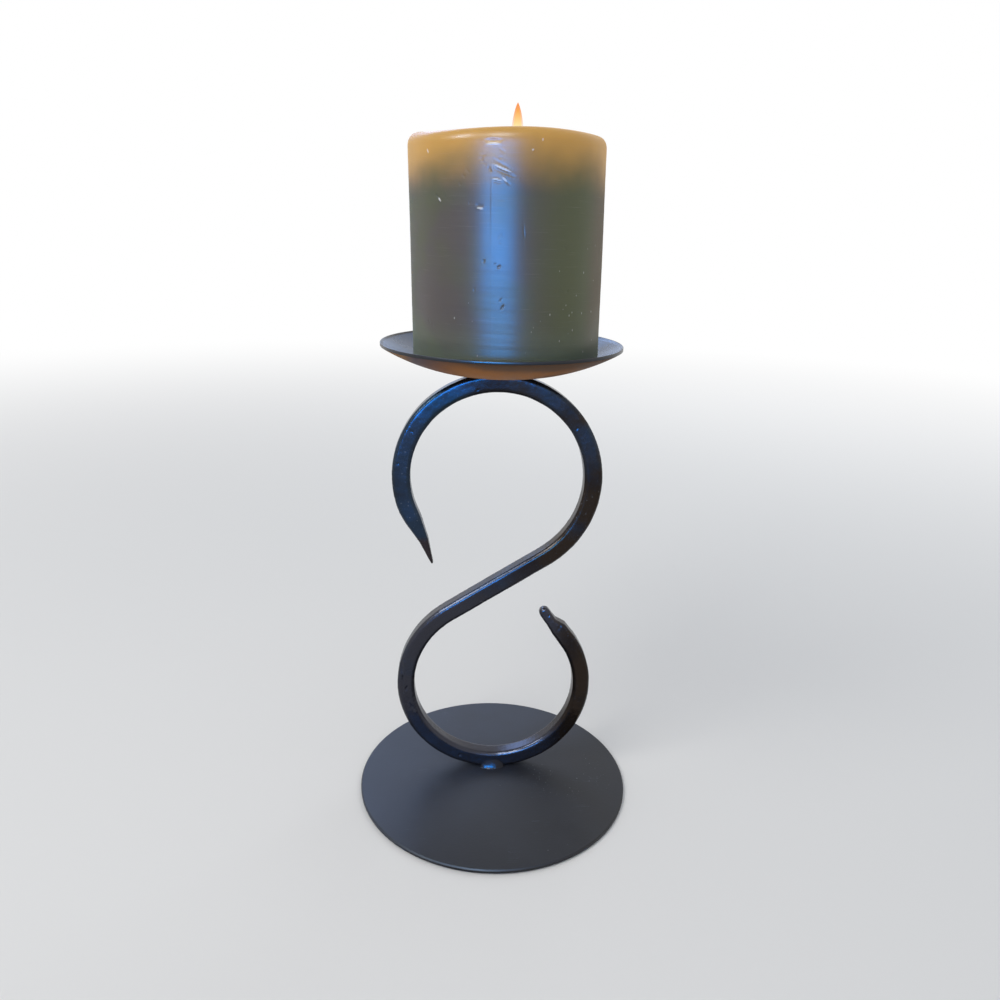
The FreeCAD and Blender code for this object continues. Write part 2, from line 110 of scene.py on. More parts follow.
def place(tree):
    return node(tree, "ShaderNodeTexCoord").outputs["Object"]


def stretched(tree, where, scale, turn=(0.0, 0.0, 0.0)):
    inputs = {"Vector": where, "Scale": scale, "Rotation": turn}
    return node(tree, "ShaderNodeMapping", inputs).outputs["Vector"]


def grain(tree, where, scale, detail=2.0, roughness=0.5):
    inputs = {"Vector": where, "Scale": scale, "Detail": detail, "Roughness": roughness}
    return node(tree, "ShaderNodeTexNoise", inputs).outputs["Fac"]


def cells(tree, where, scale):
    return node(tree, "ShaderNodeTexVoronoi", {"Vector": where, "Scale": scale}).outputs["Distance"]


def sums(tree, kind, first, second=0.0, third=0.0):
    return node(tree, "ShaderNodeMath", {0: first, 1: second, 2: third}, operation=kind).outputs[0]


def between(tree, value, low, high, start=0.0, end=1.0, smooth=True):
    """start where the value is low, end where it is high."""
    inputs = {"Value": value, "From Min": low, "From Max": high, "To Min": start, "To Max": end}
    step = "SMOOTHSTEP" if smooth else "LINEAR"
    return node(tree, "ShaderNodeMapRange", inputs, interpolation_type=step).outputs["Result"]


def rgba(color):
    """A color with its fourth number. A socket stays as it is."""
    return color if isinstance(color, bpy.types.NodeSocket) else (*color, 1.0)


def blended(tree, share, first, second):
    """The first color at share 0, the second at share 1."""
    inputs = {0: share, 6: rgba(first), 7: rgba(second)}
    return node(tree, "ShaderNodeMix", inputs, data_type="RGBA").outputs[2]


def marked(tree, color, marks, share, tint):
    """The color with a share of the tint wherever the marks are 1."""
    return blended(tree, sums(tree, "MULTIPLY", marks, share), color, tint)


def split(tree, vector):
    made = node(tree, "ShaderNodeSeparateXYZ", {"Vector": vector})
    return made.outputs["X"], made.outputs["Y"], made.outputs["Z"]


def bumped(tree, height, distance, strength, normal=None):
    inputs = {"Height": height, "Distance": distance, "Strength": strength}
    if normal is not None:
        inputs["Normal"] = normal
    return node(tree, "ShaderNodeBump", inputs).outputs["Normal"]


def shader(tree, color, roughness, normal=None, **values):
    """The material's surface. Its other inputs are named with _ for each space."""
    inputs = {"Base Color": rgba(color), "Roughness": roughness}
    if normal is not None:
        inputs["Normal"] = normal
    inputs.update({key.replace("_", " "): value for key, value in values.items()})
    made = node(tree, "ShaderNodeBsdfPrincipled", inputs)
    node(tree, "ShaderNodeOutputMaterial", {"Surface": made.outputs[0]})


def mixed(tree, share, first, second):
    """The first surface at share 0, the second at share 1."""
    inputs = {0: share, 1: first.outputs[0], 2: second.outputs[0]}
    return node(tree, "ShaderNodeMixShader", inputs).outputs[0]


def seen_by(tree, *rays):
    """1 for the rays named, 0 for any other."""
    path = node(tree, "ShaderNodeLightPath")
    share = path.outputs[f"Is {rays[0]} Ray"]
    for ray in rays[1:]:
        share = sums(tree, "MAXIMUM", share, path.outputs[f"Is {ray} Ray"])
    return share


def dress(name, material):
    mesh = frame["nodes"][name].data
    mesh.materials.clear()
    mesh.materials.append(material)


# Spans that hold most values of a noise, and nearly all of them

MOST = (0.35, 0.65)
NEARLY_ALL = (0.3, 0.7)


# Marks that several coats share

SPECK_PATCH_SCALE_SHARE = 0.12
SPECK_PATCH_EDGE = 0.05
SCRATCH_PATCH_SCALE = 70.0
SCRATCH_PATCH_EDGE = 0.08


def specks(tree, where, scale, size, share):
    """Dots in the cells of a pattern, kept in patches. A larger share keeps more of them."""
    dots = between(tree, cells(tree, where, scale), size, size * 0.5)
    patches = grain(tree, where, scale * SPECK_PATCH_SCALE_SHARE, detail=1.0)
    patches = between(tree, patches, 1.0 - share, 1.0 - share + SPECK_PATCH_EDGE)
    return sums(tree, "MULTIPLY", dots, patches)


def scratches(tree, where, turn, scale, width, share):
    """Thin lines along one direction, kept in patches. A larger share keeps more of them."""
    wave = grain(tree, stretched(tree, where, scale, turn), scale=1.0, detail=1.0, roughness=0.4)
    thin = sums(tree, "ABSOLUTE", sums(tree, "SUBTRACT", wave, 0.5))
    lines = between(tree, thin, width, 0.0)
    patches = grain(tree, where, SCRATCH_PATCH_SCALE, detail=1.0)
    patches = between(tree, patches, 1.0 - share, 1.0 - share + SCRATCH_PATCH_EDGE)
    return sums(tree, "MULTIPLY", lines, patches)


def spot(tree, where, middle, near, far):
    """1 close to a place, 0 beyond far."""
    inputs = {0: where, 1: middle}
    away = node(tree, "ShaderNodeVectorMath", inputs, operation="DISTANCE").outputs["Value"]
    return between(tree, away, far, near)


DUST = (0.30, 0.32, 0.36)


# Coat of the plate. Places are in m, and each roughness is a pair from one end of the clouds to the other

# The first two colours are a painted sheen: blue grey that stands in for the sky's reflection on the back
# left
PLATE_PAINTED_SHEEN = (0.026, 0.031, 0.046)
PLATE_PAINTED_SHEEN_PALE = (0.036, 0.043, 0.062)
PLATE_PLAIN = (0.012, 0.012, 0.014)
PLATE_PLAIN_PALE = (0.018, 0.018, 0.020)
PLATE_ROUGHNESS = (0.38, 0.52)
PLATE_DUST_PLACE = (0.034, 0.002, 0.002)
PLATE_HALF_SPAN = 0.045
SCRATCH = (0.16, 0.19, 0.26)
SCRATCH_TURN = (0.0, 0.0, 0.5)
SCRATCH_SCALE = (30.0, 1500.0, 30.0)


def plate_coat():
    """Black coat with a painted blue sheen at the back left, plain at the front right, dusty right of the
    bar's foot.
    """
    made, tree = new_material("plate_coat")
    where = place(tree)
    x, y, _ = split(tree, where)
    clouds = grain(tree, where, scale=22.0, detail=3.0, roughness=0.6)
    peel = grain(tree, where, scale=900.0)
    cloudy = between(tree, clouds, *MOST)
    painted_sheen = blended(tree, cloudy, PLATE_PAINTED_SHEEN, PLATE_PAINTED_SHEEN_PALE)
    plain = blended(tree, cloudy, PLATE_PLAIN, PLATE_PLAIN_PALE)
    # Painted sheen: blue grey towards the back left, plain black towards the front right
    painted_sheen_side = between(tree, sums(tree, "SUBTRACT", y, x), -PLATE_HALF_SPAN, PLATE_HALF_SPAN)
    color = blended(tree, painted_sheen_side, plain, painted_sheen)
    thin_dust = sums(tree, "MULTIPLY", specks(tree, where, scale=420.0, size=0.13, share=0.34), 0.6)
    thick_dust = specks(tree, where, scale=560.0, size=0.16, share=0.50)
    by_foot = spot(tree, where, PLATE_DUST_PLACE, near=0.008, far=0.026)
    dust = sums(tree, "MAXIMUM", thin_dust, sums(tree, "MULTIPLY", thick_dust, by_foot))
    lines = scratches(tree, where, SCRATCH_TURN, SCRATCH_SCALE, width=0.006, share=0.40)
    color = marked(tree, color, dust, 0.4, DUST)
    color = marked(tree, color, lines, 0.25, SCRATCH)
    rough = between(tree, clouds, *NEARLY_ALL, *PLATE_ROUGHNESS)
    normal = bumped(tree, peel, distance=0.00006, strength=0.6)
    shader(tree, color, rough, normal, Specular_IOR_Level=0.30)
    return made


# Coat of the bar, the spike and the welds

BAR_BLACK = (0.015, 0.012, 0.013)
BAR_GREY = (0.041, 0.041, 0.052)
# The next two colours are painted sheen: the window's reflection on the bar's high left and on its shoulder
BAR_PAINTED_BLUE_SHEEN = (0.021, 0.036, 0.060)
BAR_SHEEN = (0.010, 0.023, 0.031)
BAR_BROWN = (0.027, 0.018, 0.012)
TIP_BROWN = (0.036, 0.028, 0.031)
# Near black painted as shade on the weld beads, which sit in the corners under the bar and the dish
PAINTED_SHADE_BLACK = (0.003, 0.003, 0.003)
# A pale blue painted as glints of the bar's fine grain
PAINTED_GLINT_BLUE = (0.075, 0.12, 0.19)
CROWN_PLACE = (-0.004, 0.008, 0.1935)
SHEEN_PLACE = (-0.0245, 0.006, 0.1815)
TIP_PLACE = (-0.035, 0.008, 0.108)
CROWN_BLUE_LOSS = 0.9
BLUE_SLOPE = 3.0
BLUE_START = -0.36
BLUE_SPAN = (0.42, 0.74)
BROWN_SLOPE = 4.0
BROWN_SPAN = (0.46, 0.66)
GREY_HEIGHTS = (0.118, 0.084)
GREY_SIDES = (0.036, 0.022)
BAR_ROUGHNESS = (0.21, 0.29)
WELD_ROUGHNESS = (0.20, 0.28)
BAR_SKIN_DEPTH = 0.00006
WELD_SKIN_DEPTH = 0.00003
SPARK_DEPTH = 0.00003


def bar_coat(name, roughness, skin_depth, painted_shade_share):
    """Black steel: a painted blue sheen high on the left and a painted sheen spot on the shoulder, brown on
    the right and at the tip, grey low down.

    A share of painted shade blackens all of it, for the weld beads in the corners under the bar and the dish.
    """
    made, tree = new_material(name)
    where = place(tree)
    x, _, z = split(tree, where)
    clouds = grain(tree, where, scale=34.0, detail=4.0, roughness=0.6)
    grain_and_glints = grain(tree, where, scale=1500.0, roughness=0.6)
    skin = grain(tree, where, scale=480.0, detail=3.0, roughness=0.6)
    # Painted blue sheen, high on the left and taken off again at the crown
    high = sums(tree, "MULTIPLY_ADD", z, BLUE_SLOPE, BLUE_START)
    high_left = sums(tree, "MULTIPLY_ADD", x, -BLUE_SLOPE, high)
    painted_blue_sheen = between(tree, sums(tree, "ADD", high_left, clouds), *BLUE_SPAN)
    crown = spot(tree, where, CROWN_PLACE, near=0.004, far=0.019)
    off_crown = sums(tree, "SUBTRACT", 1.0, sums(tree, "MULTIPLY", crown, CROWN_BLUE_LOSS))
    painted_blue_sheen = sums(tree, "MULTIPLY", painted_blue_sheen, off_crown)
    rusty = grain(tree, where, scale=48.0, detail=3.0)
    right = between(tree, sums(tree, "MULTIPLY_ADD", x, BROWN_SLOPE, rusty), *BROWN_SPAN)
    color = blended(tree, right, BAR_BLACK, BAR_BROWN)
    low = sums(tree, "MULTIPLY", between(tree, z, *GREY_HEIGHTS), between(tree, x, *GREY_SIDES))
    color = blended(tree, low, color, BAR_GREY)
    color = blended(tree, painted_blue_sheen, color, BAR_PAINTED_BLUE_SHEEN)
    # Painted sheen spot on the shoulder, which is also a little rougher
    sheen = spot(tree, where, SHEEN_PLACE, near=0.003, far=0.019)
    sheen = sums(tree, "MULTIPLY", sheen, between(tree, clouds, 0.25, 0.6))
    color = blended(tree, sheen, color, BAR_SHEEN)
    color = blended(tree, spot(tree, where, TIP_PLACE, near=0.0135, far=0.0165), color, TIP_BROWN)
    # Painted glints: pale blue dots on the fine grain, which also bumps the surface
    color = blended(tree, between(tree, grain_and_glints, 0.60, 0.74, 0.0, 0.40), color, PAINTED_GLINT_BLUE)
    color = marked(tree, color, specks(tree, where, scale=520.0, size=0.13, share=0.42), 0.5, DUST)
    # Painted shade, which darkens the weld beads
    color = blended(tree, painted_shade_share, color, PAINTED_SHADE_BLACK)
    rough = between(tree, clouds, *NEARLY_ALL, *roughness)
    rough = sums(tree, "MULTIPLY_ADD", sheen, 0.10, rough)
    normal = bumped(tree, skin, skin_depth, strength=0.5)
    normal = bumped(tree, grain_and_glints, SPARK_DEPTH, strength=0.5, normal=normal)
    shader(tree, color, rough, normal, Specular_IOR_Level=0.30, Metallic=0.75)
    return made


# Coats of the dish. A span runs from where a color starts to where it is full, in m

# The blue grey on top is a painted sheen, the sky's reflection on the black coat
DISH_TOP_PAINTED_SHEEN = (0.070, 0.115, 0.215)
DISH_TOP_PAINTED_SHEEN_DARK = tuple(0.75 * value for value in DISH_TOP_PAINTED_SHEEN)
DISH_EDGE = (0.006, 0.007, 0.011)
# The underside's colours are a painted reflection of a brown wooden table
DISH_UNDER_PAINTED_REFLECTION = (0.290, 0.108, 0.018)
DISH_UNDER_PAINTED_REFLECTION_DARK = (0.095, 0.048, 0.022)
DISH_UNDER_PAINTED_REFLECTION_COOL = (0.075, 0.058, 0.070)
DISH_UNDER_PAINTED_REFLECTION_GOLD = (0.24, 0.115, 0.035)
DISH_TOP_ROUGHNESS = (0.24, 0.36)
DISH_UNDER_ROUGHNESS = (0.52, 0.64)
DISH_EDGE_RADII = (0.0494, 0.0499)
UNDER_DARK_RADII = (0.040, 0.0505)
UNDER_COOL_SIDES = (-0.014, -0.040)
UNDER_GOLD_SIDES = (-0.035, -0.041)
UNDER_WARMTH = 0.78
UNDER_WARMTH_SLOPE = -9.0
UNDER_WARMTH_SWING = 0.30
RIM_WARMTH_LOSS = 0.75
DISH_PEEL_DEPTH = 0.00004
SPUN_DEPTH = 0.00001
SPUN_RADIANS_PER_M = 9000.0
DISH_AXIS = (0.0, AXIS_Y * MM, 0.0)
LEVEL_PART = (1.0, 1.0, 0.0)


def from_dish_axis(tree, where):
    """How far a place is from the dish's axis."""
    away = node(tree, "ShaderNodeVectorMath", {0: where, 1: DISH_AXIS}, operation="SUBTRACT").outputs[0]
    flat = node(tree, "ShaderNodeVectorMath", {0: away, 1: LEVEL_PART}, operation="MULTIPLY").outputs[0]
    return node(tree, "ShaderNodeVectorMath", {0: flat}, operation="LENGTH").outputs["Value"]


def dish_upper_coat():
    """Painted blue grey sheen on a black coat, with fine rings from spinning and a dark edge."""
    made, tree = new_material("dish_upper_coat")
    where = place(tree)
    radius = from_dish_axis(tree, where)
    clouds = grain(tree, where, scale=45.0, detail=4.0, roughness=0.6)
    peel = grain(tree, where, scale=700.0)
    spun = sums(tree, "SINE", sums(tree, "MULTIPLY", radius, SPUN_RADIANS_PER_M))
    # Painted sheen, cloudy, with the dark edge at the rim
    color = blended(tree, between(tree, clouds, *MOST), DISH_TOP_PAINTED_SHEEN_DARK, DISH_TOP_PAINTED_SHEEN)
    color = blended(tree, between(tree, radius, *DISH_EDGE_RADII), color, DISH_EDGE)
    color = marked(tree, color, specks(tree, where, scale=420.0, size=0.13, share=0.5), 0.4, DUST)
    rough = between(tree, clouds, *NEARLY_ALL, *DISH_TOP_ROUGHNESS)
    normal = bumped(tree, spun, SPUN_DEPTH, strength=0.3)
    normal = bumped(tree, peel, DISH_PEEL_DEPTH, strength=0.4, normal=normal)
    shader(tree, color, rough, normal, Specular_IOR_Level=0.40)
    return made


def dish_under_coat():
    """Painted reflection of a brown table on a black coat: golden brown, darker on the right and at the rim,
    cool on the left, gold again at the left end.
    """
    made, tree = new_material("dish_under_coat")
    where = place(tree)
    x, _, _ = split(tree, where)
    radius = from_dish_axis(tree, where)
    clouds = grain(tree, where, scale=45.0, detail=4.0, roughness=0.6)
    peel = grain(tree, where, scale=700.0)
    # Painted reflection, warmer to the left, swaying with the clouds and darker towards the rim
    reflected_warmth = sums(tree, "MULTIPLY_ADD", x, UNDER_WARMTH_SLOPE, UNDER_WARMTH)
    swing = between(tree, clouds, *NEARLY_ALL, -UNDER_WARMTH_SWING, UNDER_WARMTH_SWING)
    loss = between(tree, radius, *UNDER_DARK_RADII, 0.0, RIM_WARMTH_LOSS)
    reflected_warmth = sums(tree, "SUBTRACT", sums(tree, "ADD", reflected_warmth, swing), loss)
    color = blended(tree, between(tree, reflected_warmth, 0.0, 1.0), DISH_UNDER_PAINTED_REFLECTION_DARK, DISH_UNDER_PAINTED_REFLECTION)
    color = blended(tree, between(tree, x, *UNDER_COOL_SIDES), color, DISH_UNDER_PAINTED_REFLECTION_COOL)
    color = blended(tree, between(tree, x, *UNDER_GOLD_SIDES), color, DISH_UNDER_PAINTED_REFLECTION_GOLD)
    color = marked(tree, color, specks(tree, where, scale=420.0, size=0.13, share=0.5), 0.2, DUST)
    rough = between(tree, clouds, *NEARLY_ALL, *DISH_UNDER_ROUGHNESS)
    normal = bumped(tree, peel, DISH_PEEL_DEPTH, strength=0.4)
    shader(tree, color, rough, normal, Specular_IOR_Level=0.10)
    return made


plate_material = plate_coat()
bar_material = bar_coat("forged_bar", BAR_ROUGHNESS, BAR_SKIN_DEPTH, painted_shade_share=0.0)
weld_material = bar_coat("weld_coat", WELD_ROUGHNESS, WELD_SKIN_DEPTH, painted_shade_share=0.62)
dish_upper = dish_upper_coat()
dish_under = dish_under_coat()
dress("base_plate", plate_material)
dress("scroll", bar_material)
dress("spike", bar_material)
for name in ("foot_weld_front", "foot_weld_back", "dish_weld_front", "dish_weld_back"):
    dress(name, weld_material)
dress("drip_dish", dish_upper)


# Helpers for shapes, in mm

def new_piece(name, points, faces, material, body, slot, *nodes):
    """A smooth mesh from points in mm, which rides on a body and stands for the nodes named."""
    mesh = bpy.data.meshes.new(name)
    mesh.from_pydata([(px * MM, py * MM, pz * MM) for px, py, pz in points], [], faces)
    mesh.polygons.foreach_set("use_smooth", [True] * len(mesh.polygons))
    mesh.update()
    mesh.materials.append(material)
    made = bpy.data.objects.new(name, mesh)
    SCENE.collection.objects.link(made)
    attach(made, body)
    if nodes:
        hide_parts(*nodes)
    return made


def oval(right, rise, length, width, tilt):
    """How far out places lie in an oval, 0 in its middle and 1 on its edge, and which side of it."""
    cos, sin = math.cos(math.radians(tilt)), math.sin(math.radians(tilt))
    along = (right * cos + rise * sin) / (0.5 * length)
    across = (rise * cos - right * sin) / (0.5 * width)
    return along * along + across * across, across


def dent(far):
    """Depth shares of a mark: 1 in its middle, fading out over its edge."""
    return np.exp(-(far ** 1.5))


def ring_faces(rings):
    """Faces between rings of point numbers. A ring of one point closes the surface."""
    faces = []
    for low, high in zip(rings, rings[1:]):
        count = max(len(low), len(high))
        for column in range(count):
            after = (column + 1) % count
            if len(low) == 1:
                faces.append((low[0], high[after], high[column]))
            elif len(high) == 1:
                faces.append((low[column], low[after], high[0]))
            else:
                faces.append((low[column], low[after], high[after], high[column]))
    return faces


def turned(rings, count):
    """Points and faces of a round surface. Each ring is its middle X, its Z and its radius."""
    points, numbers = [], []
    for middle, level, radius in rings:
        start = len(points)
        for number in range(count if radius > 0.0 else 1):
            turn = 2.0 * math.pi * number / count
            points.append((middle + radius * math.cos(turn), AXIS_Y + radius * math.sin(turn), level))
        numbers.append(list(range(start, len(points))))
    return points, ring_faces(numbers)


# The S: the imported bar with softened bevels, hammer marks and nicks, most of them on its front

VOXEL = 0.45
SMOOTH_FACTOR = 0.5
SMOOTH_TURNS = 3
HAMMER_DEPTH = 0.09
HAMMER_SIZE = 7.0
PIT_DEPTH = 0.035
PIT_SIZE = 1.6
BAR_FRONT, BAR_BACK = (corner[1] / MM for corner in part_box("scroll"))

# A nick marks the bar this deep behind its face, and pushes up a burr round its edge
NICK_REACH = 1.5
BURR_SHARE = 0.25
BURR_PLACE = 1.9
BURR_WIDTH = 0.8

# The marks end at the plate and under the dish, so that the bar still meets them flat
UNMARKED_END = 0.3
MARKS_GROW_OVER = 1.2

# Each nick: X, Z, length, width, depth and tilt from the vertical, in mm and degrees
FRONT_NICKS = (
    (-43.6, 58.0, 5.6, 1.4, 0.45, 4.0),
    (-43.2, 52.4, 4.2, 0.9, 0.35, -8.0),
    (-41.6, 47.0, 2.6, 1.2, 0.35, 20.0),
    (-42.3, 62.5, 3.2, 0.8, 0.25, 12.0),
    (-38.8, 36.5, 4.8, 1.0, 0.25, -30.0),
    (-15.9, 9.2, 1.6, 1.3, 0.40, 60.0),
    (33.3, 174.4, 1.6, 0.8, 0.30, 40.0),
    (-44.0, 158.2, 1.1, 0.8, 0.30, 0.0),
    (-37.8, 172.5, 2.2, 0.6, 0.22, -35.0),
    (25.4, 84.6, 2.4, 0.8, 0.30, 30.0),
    (30.0, 78.0, 3.2, 0.9, 0.30, 25.0),
    (-10.0, 190.8, 2.0, 0.7, 0.20, 80.0),
)
BACK_NICKS = (
    (39.6, 160.0, 4.0, 1.0, 0.35, 10.0),
    (-40.0, 60.0, 5.0, 1.1, 0.35, -15.0),
    (12.0, 113.0, 5.0, 0.9, 0.30, 58.0),
    (-20.0, 185.0, 3.0, 1.0, 0.30, 50.0),
)


def softened_bar():
    """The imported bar's mesh, even and fine, with its bevels rounded."""
    source = bpy.data.objects.new("bar_source", frame["nodes"]["scroll"].data.copy())
    SCENE.collection.objects.link(source)
    fine = source.modifiers.new("even", "REMESH")
    fine.mode = "VOXEL"
    fine.voxel_size = VOXEL * MM
    fine.use_smooth_shade = True
    soft = source.modifiers.new("soft", "SMOOTH")
    soft.factor = SMOOTH_FACTOR
    soft.iterations = SMOOTH_TURNS
    graph = bpy.context.evaluated_depsgraph_get()
    mesh = bpy.data.meshes.new_from_object(source.evaluated_get(graph), depsgraph=graph)
    bpy.data.objects.remove(source)
    return mesh


def vertex_values(mesh, name):
    """A value of three numbers at each vertex, such as co or normal."""
    flat = np.empty(len(mesh.vertices) * 3)
    mesh.vertices.foreach_get(name, flat)
    return flat.reshape(-1, 3)


def hammered(points):
    """How far hammer marks and nicks move each point of the bar outwards, in mm."""
    out = np.array([
        HAMMER_DEPTH * noise.noise(Vector(point) / HAMMER_SIZE)
        + PIT_DEPTH * noise.noise(Vector(point) / PIT_SIZE)
        for point in points])
    for face, nicks in ((BAR_FRONT, FRONT_NICKS), (BAR_BACK, BACK_NICKS)):
        facing = np.abs(points[:, 1] - face) < NICK_REACH
        for x, z, length, width, depth, tilt in nicks:
            far, _ = oval(points[:, 0] - x, points[:, 2] - z, length, width, 90.0 - tilt)
            out -= facing * depth * dent(far)
            out += facing * BURR_SHARE * depth * np.exp(-((far - BURR_PLACE) / BURR_WIDTH) ** 2)
    low, high = points[:, 2].min(), points[:, 2].max()
    from_end = np.minimum(points[:, 2] - low, high - points[:, 2])
    return out * np.clip((from_end - UNMARKED_END) / MARKS_GROW_OVER, 0.0, 1.0)


def forged_bar():
    mesh = softened_bar()
    points = vertex_values(mesh, "co") / MM
    points += vertex_values(mesh, "normal") * hammered(points)[:, None]
    mesh.vertices.foreach_set("co", (points * MM).ravel())
    mesh.materials.clear()
    mesh.materials.append(bar_material)
    mesh.update()
    mesh.name = "forged_scroll"
    made = bpy.data.objects.new("forged_scroll", mesh)
    SCENE.collection.objects.link(made)
    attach(made, "holder")
    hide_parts("scroll")


forged_bar()


# Weld beads: rippled, in the corner between the bar and the plate or the dish

BEAD_STEPS = 72
BEAD_TURNS = 12
BEAD_END_SHARE = 0.03
BEAD_LUMP_SHARE = 0.05
BEAD_LUMPS_PER_MM = 1.3
BEAD_BOW = 0.35


def bead(node_name, ripples, sag, taper=0.4, reach_share=1.0, hollow=1.0):
    """A bead in its node's box. A taper near 0 keeps the ends blunt, hollow over 1 makes it sink in."""
    low, high = (Vector(corner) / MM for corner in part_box(node_name))
    front, hangs = node_name.endswith("front"), node_name.startswith("dish")
    inner = high.y if front else low.y
    base = high.z if hangs else low.z
    out, up = (-1 if front else 1), (-1 if hangs else 1)
    length, reach, height = high.x - low.x, reach_share * (high.y - low.y), high.z - low.z
    points, faces = [], []
    for step in range(BEAD_STEPS + 1):
        share = 2.0 * step / BEAD_STEPS - 1.0
        swell = max(0.0, 1.0 - share * share) ** taper * (1.0 - BEAD_END_SHARE) + BEAD_END_SHARE
        ripple = 1.0 - sag * (0.5 + 0.5 * math.cos(math.pi * share * ripples)) * (1.0 - abs(share) ** 3)
        middle = (low.x + high.x) / 2 + 0.5 * length * share
        for turn in range(BEAD_TURNS + 1):
            angle = 0.5 * math.pi * turn / BEAD_TURNS
            lump = noise.noise(Vector((middle, 3.0 * angle, base)) * BEAD_LUMPS_PER_MM)
            bulge = swell * ripple * (1.0 + BEAD_LUMP_SHARE * lump)
            bow = BEAD_BOW * math.sin(2.0 * angle) * (1.0 - share * share)
            points.append((
                middle + bow,
                inner + out * reach * bulge * max(0.0, math.cos(angle)) ** hollow,
                base + up * height * bulge * math.sin(angle) ** hollow,
            ))
        points.append((middle, inner, base))
    wide = BEAD_TURNS + 2
    for step in range(BEAD_STEPS):
        for turn in range(wide):
            after = (turn + 1) % wide
            first, second = step * wide, (step + 1) * wide
            face = (first + turn, first + after, second + after, second + turn)
            faces.append(face if front != hangs else face[::-1])
    ends = (tuple(range(wide)), tuple(BEAD_STEPS * wide + turn for turn in reversed(range(wide))))
    faces += [end[::-1] if front != hangs else end for end in ends]
    new_piece(f"{node_name}_bead", points, faces, weld_material, "holder", "weld", node_name)


bead("foot_weld_front", ripples=0.0, sag=0.0, taper=0.6, reach_share=0.80, hollow=2.3)
bead("foot_weld_back", ripples=4.0, sag=0.14)
bead("dish_weld_front", ripples=3.0, sag=0.12)
bead("dish_weld_back", ripples=3.0, sag=0.12)


# Candle: a turned body with an uneven rim, a melted well, a mould seam and chips

CANDLE_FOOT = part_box("candle")[0][2] / MM
CANDLE_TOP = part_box("candle")[1][2] / MM
CANDLE_RADIUS = 38.75
FOOT_ROUND = 1.5
SOCKET_RADIUS = 2.8
SOCKET_DEPTH = 15.0
SOCKET_LEVELS = (SOCKET_DEPTH, 8.0, 3.0, 0.5)
SOCKET_BEVEL = 0.5
RIM_DEPTH = 4.2
RIM_WIDTH = 3.4
WELL_CENTRE_DROP = 0.3

# Radius of the well and height over the candle's top, from the rim to the wick
WELL_PROFILE = (
    (34.4, -0.1), (33.4, -0.5), (32.3, -1.3), (31.0, -2.5), (29.6, -3.8), (28.0, -4.9), (26.0, -5.9),
    (23.5, -6.6), (20.0, -6.9), (15.0, -7.0), (10.0, -7.0), (5.0, -6.9), (2.0, -6.6), (0.0, -6.5),
)

# Columns stand close together from one direction to the other, in degrees, and farther apart behind
FINE_FROM = -152.0
FINE_TO = -50.0
FINE_COLUMNS = 255
PLAIN_COLUMNS = 172
ROW_STEP = 0.4
FOOT_FIRST_RING = 6.0
FOOT_RINGS = 14
FOOT_ROUND_ROWS = 7
RIM_ROWS = 15

# The rim's unevenness starts this far under the rim and gets less with each row of the well
UNEVEN_DEPTH = 14.0
WELL_UNEVEN_LOSS = 0.12
WELL_UNEVEN_LEAST = 0.15

# The wall's marks grow over this height above the foot and fade over the rim
WALL_MARKS_GROW_OVER = 1.5
FOOT_MARKS_SHARE = 0.2
RIM_MARKS_LOSS = 0.9

# Each wave of the rim: height in mm, number of waves all round, shift in radians
RIM_WAVES = ((0.30, 1.0, math.pi / 2 - 0.2), (0.16, 2.0, 1.1), (0.10, 5.0, 0.4))

# Each swell of the rim: height in mm, sharpness, direction in degrees
RIM_SWELLS = ((1.5, 12.0, -172.0), (1.42, 4.6, -87.0))
RIM_SINK = 0.35

# Each ripple of the wall: height in mm, number all round, radians for each mm upwards, shift in radians
WALL_RIPPLES = ((0.05, 3.0, 0.05, 0.0), (0.035, 7.0, -0.11, 1.0), (0.005, 5.0, 2.3, 0.0))

# Faint rings round the wall: height in mm, radians for each mm upwards, and how far they sway in radians
RING_HEIGHT = 0.012
RING_RATE = 0.9
RING_SWAY = 2.0

# The mould seam: direction in degrees, width and height, and a stretch where it stands out more
SEAM_DIRECTION = -102.0
SEAM_WIDTH = 0.30
SEAM_HEIGHT = 0.015
SEAM_SWELL_HEIGHT = 0.06
SEAM_SWELL_LEVEL = 60.0
SEAM_SWELL_REACH = 8.0

# The candle has slid a little to the right in the dish, so it leans to the left about a point over its rim
LEAN = math.radians(1.0)
LEAN_CENTRE = 302.0

# Within this radius, and up to this height over the socket's end, the candle stays over its spike
SOCKET_ZONE_RADIUS = 4.0
SOCKET_ZONE_OVER = 1.0

# A chip has a lip under it. Its height is a share of the chip's depth
LIP_SHARE = 0.3
LIP_PLACE = 1.9
LIP_WIDTH = 0.9
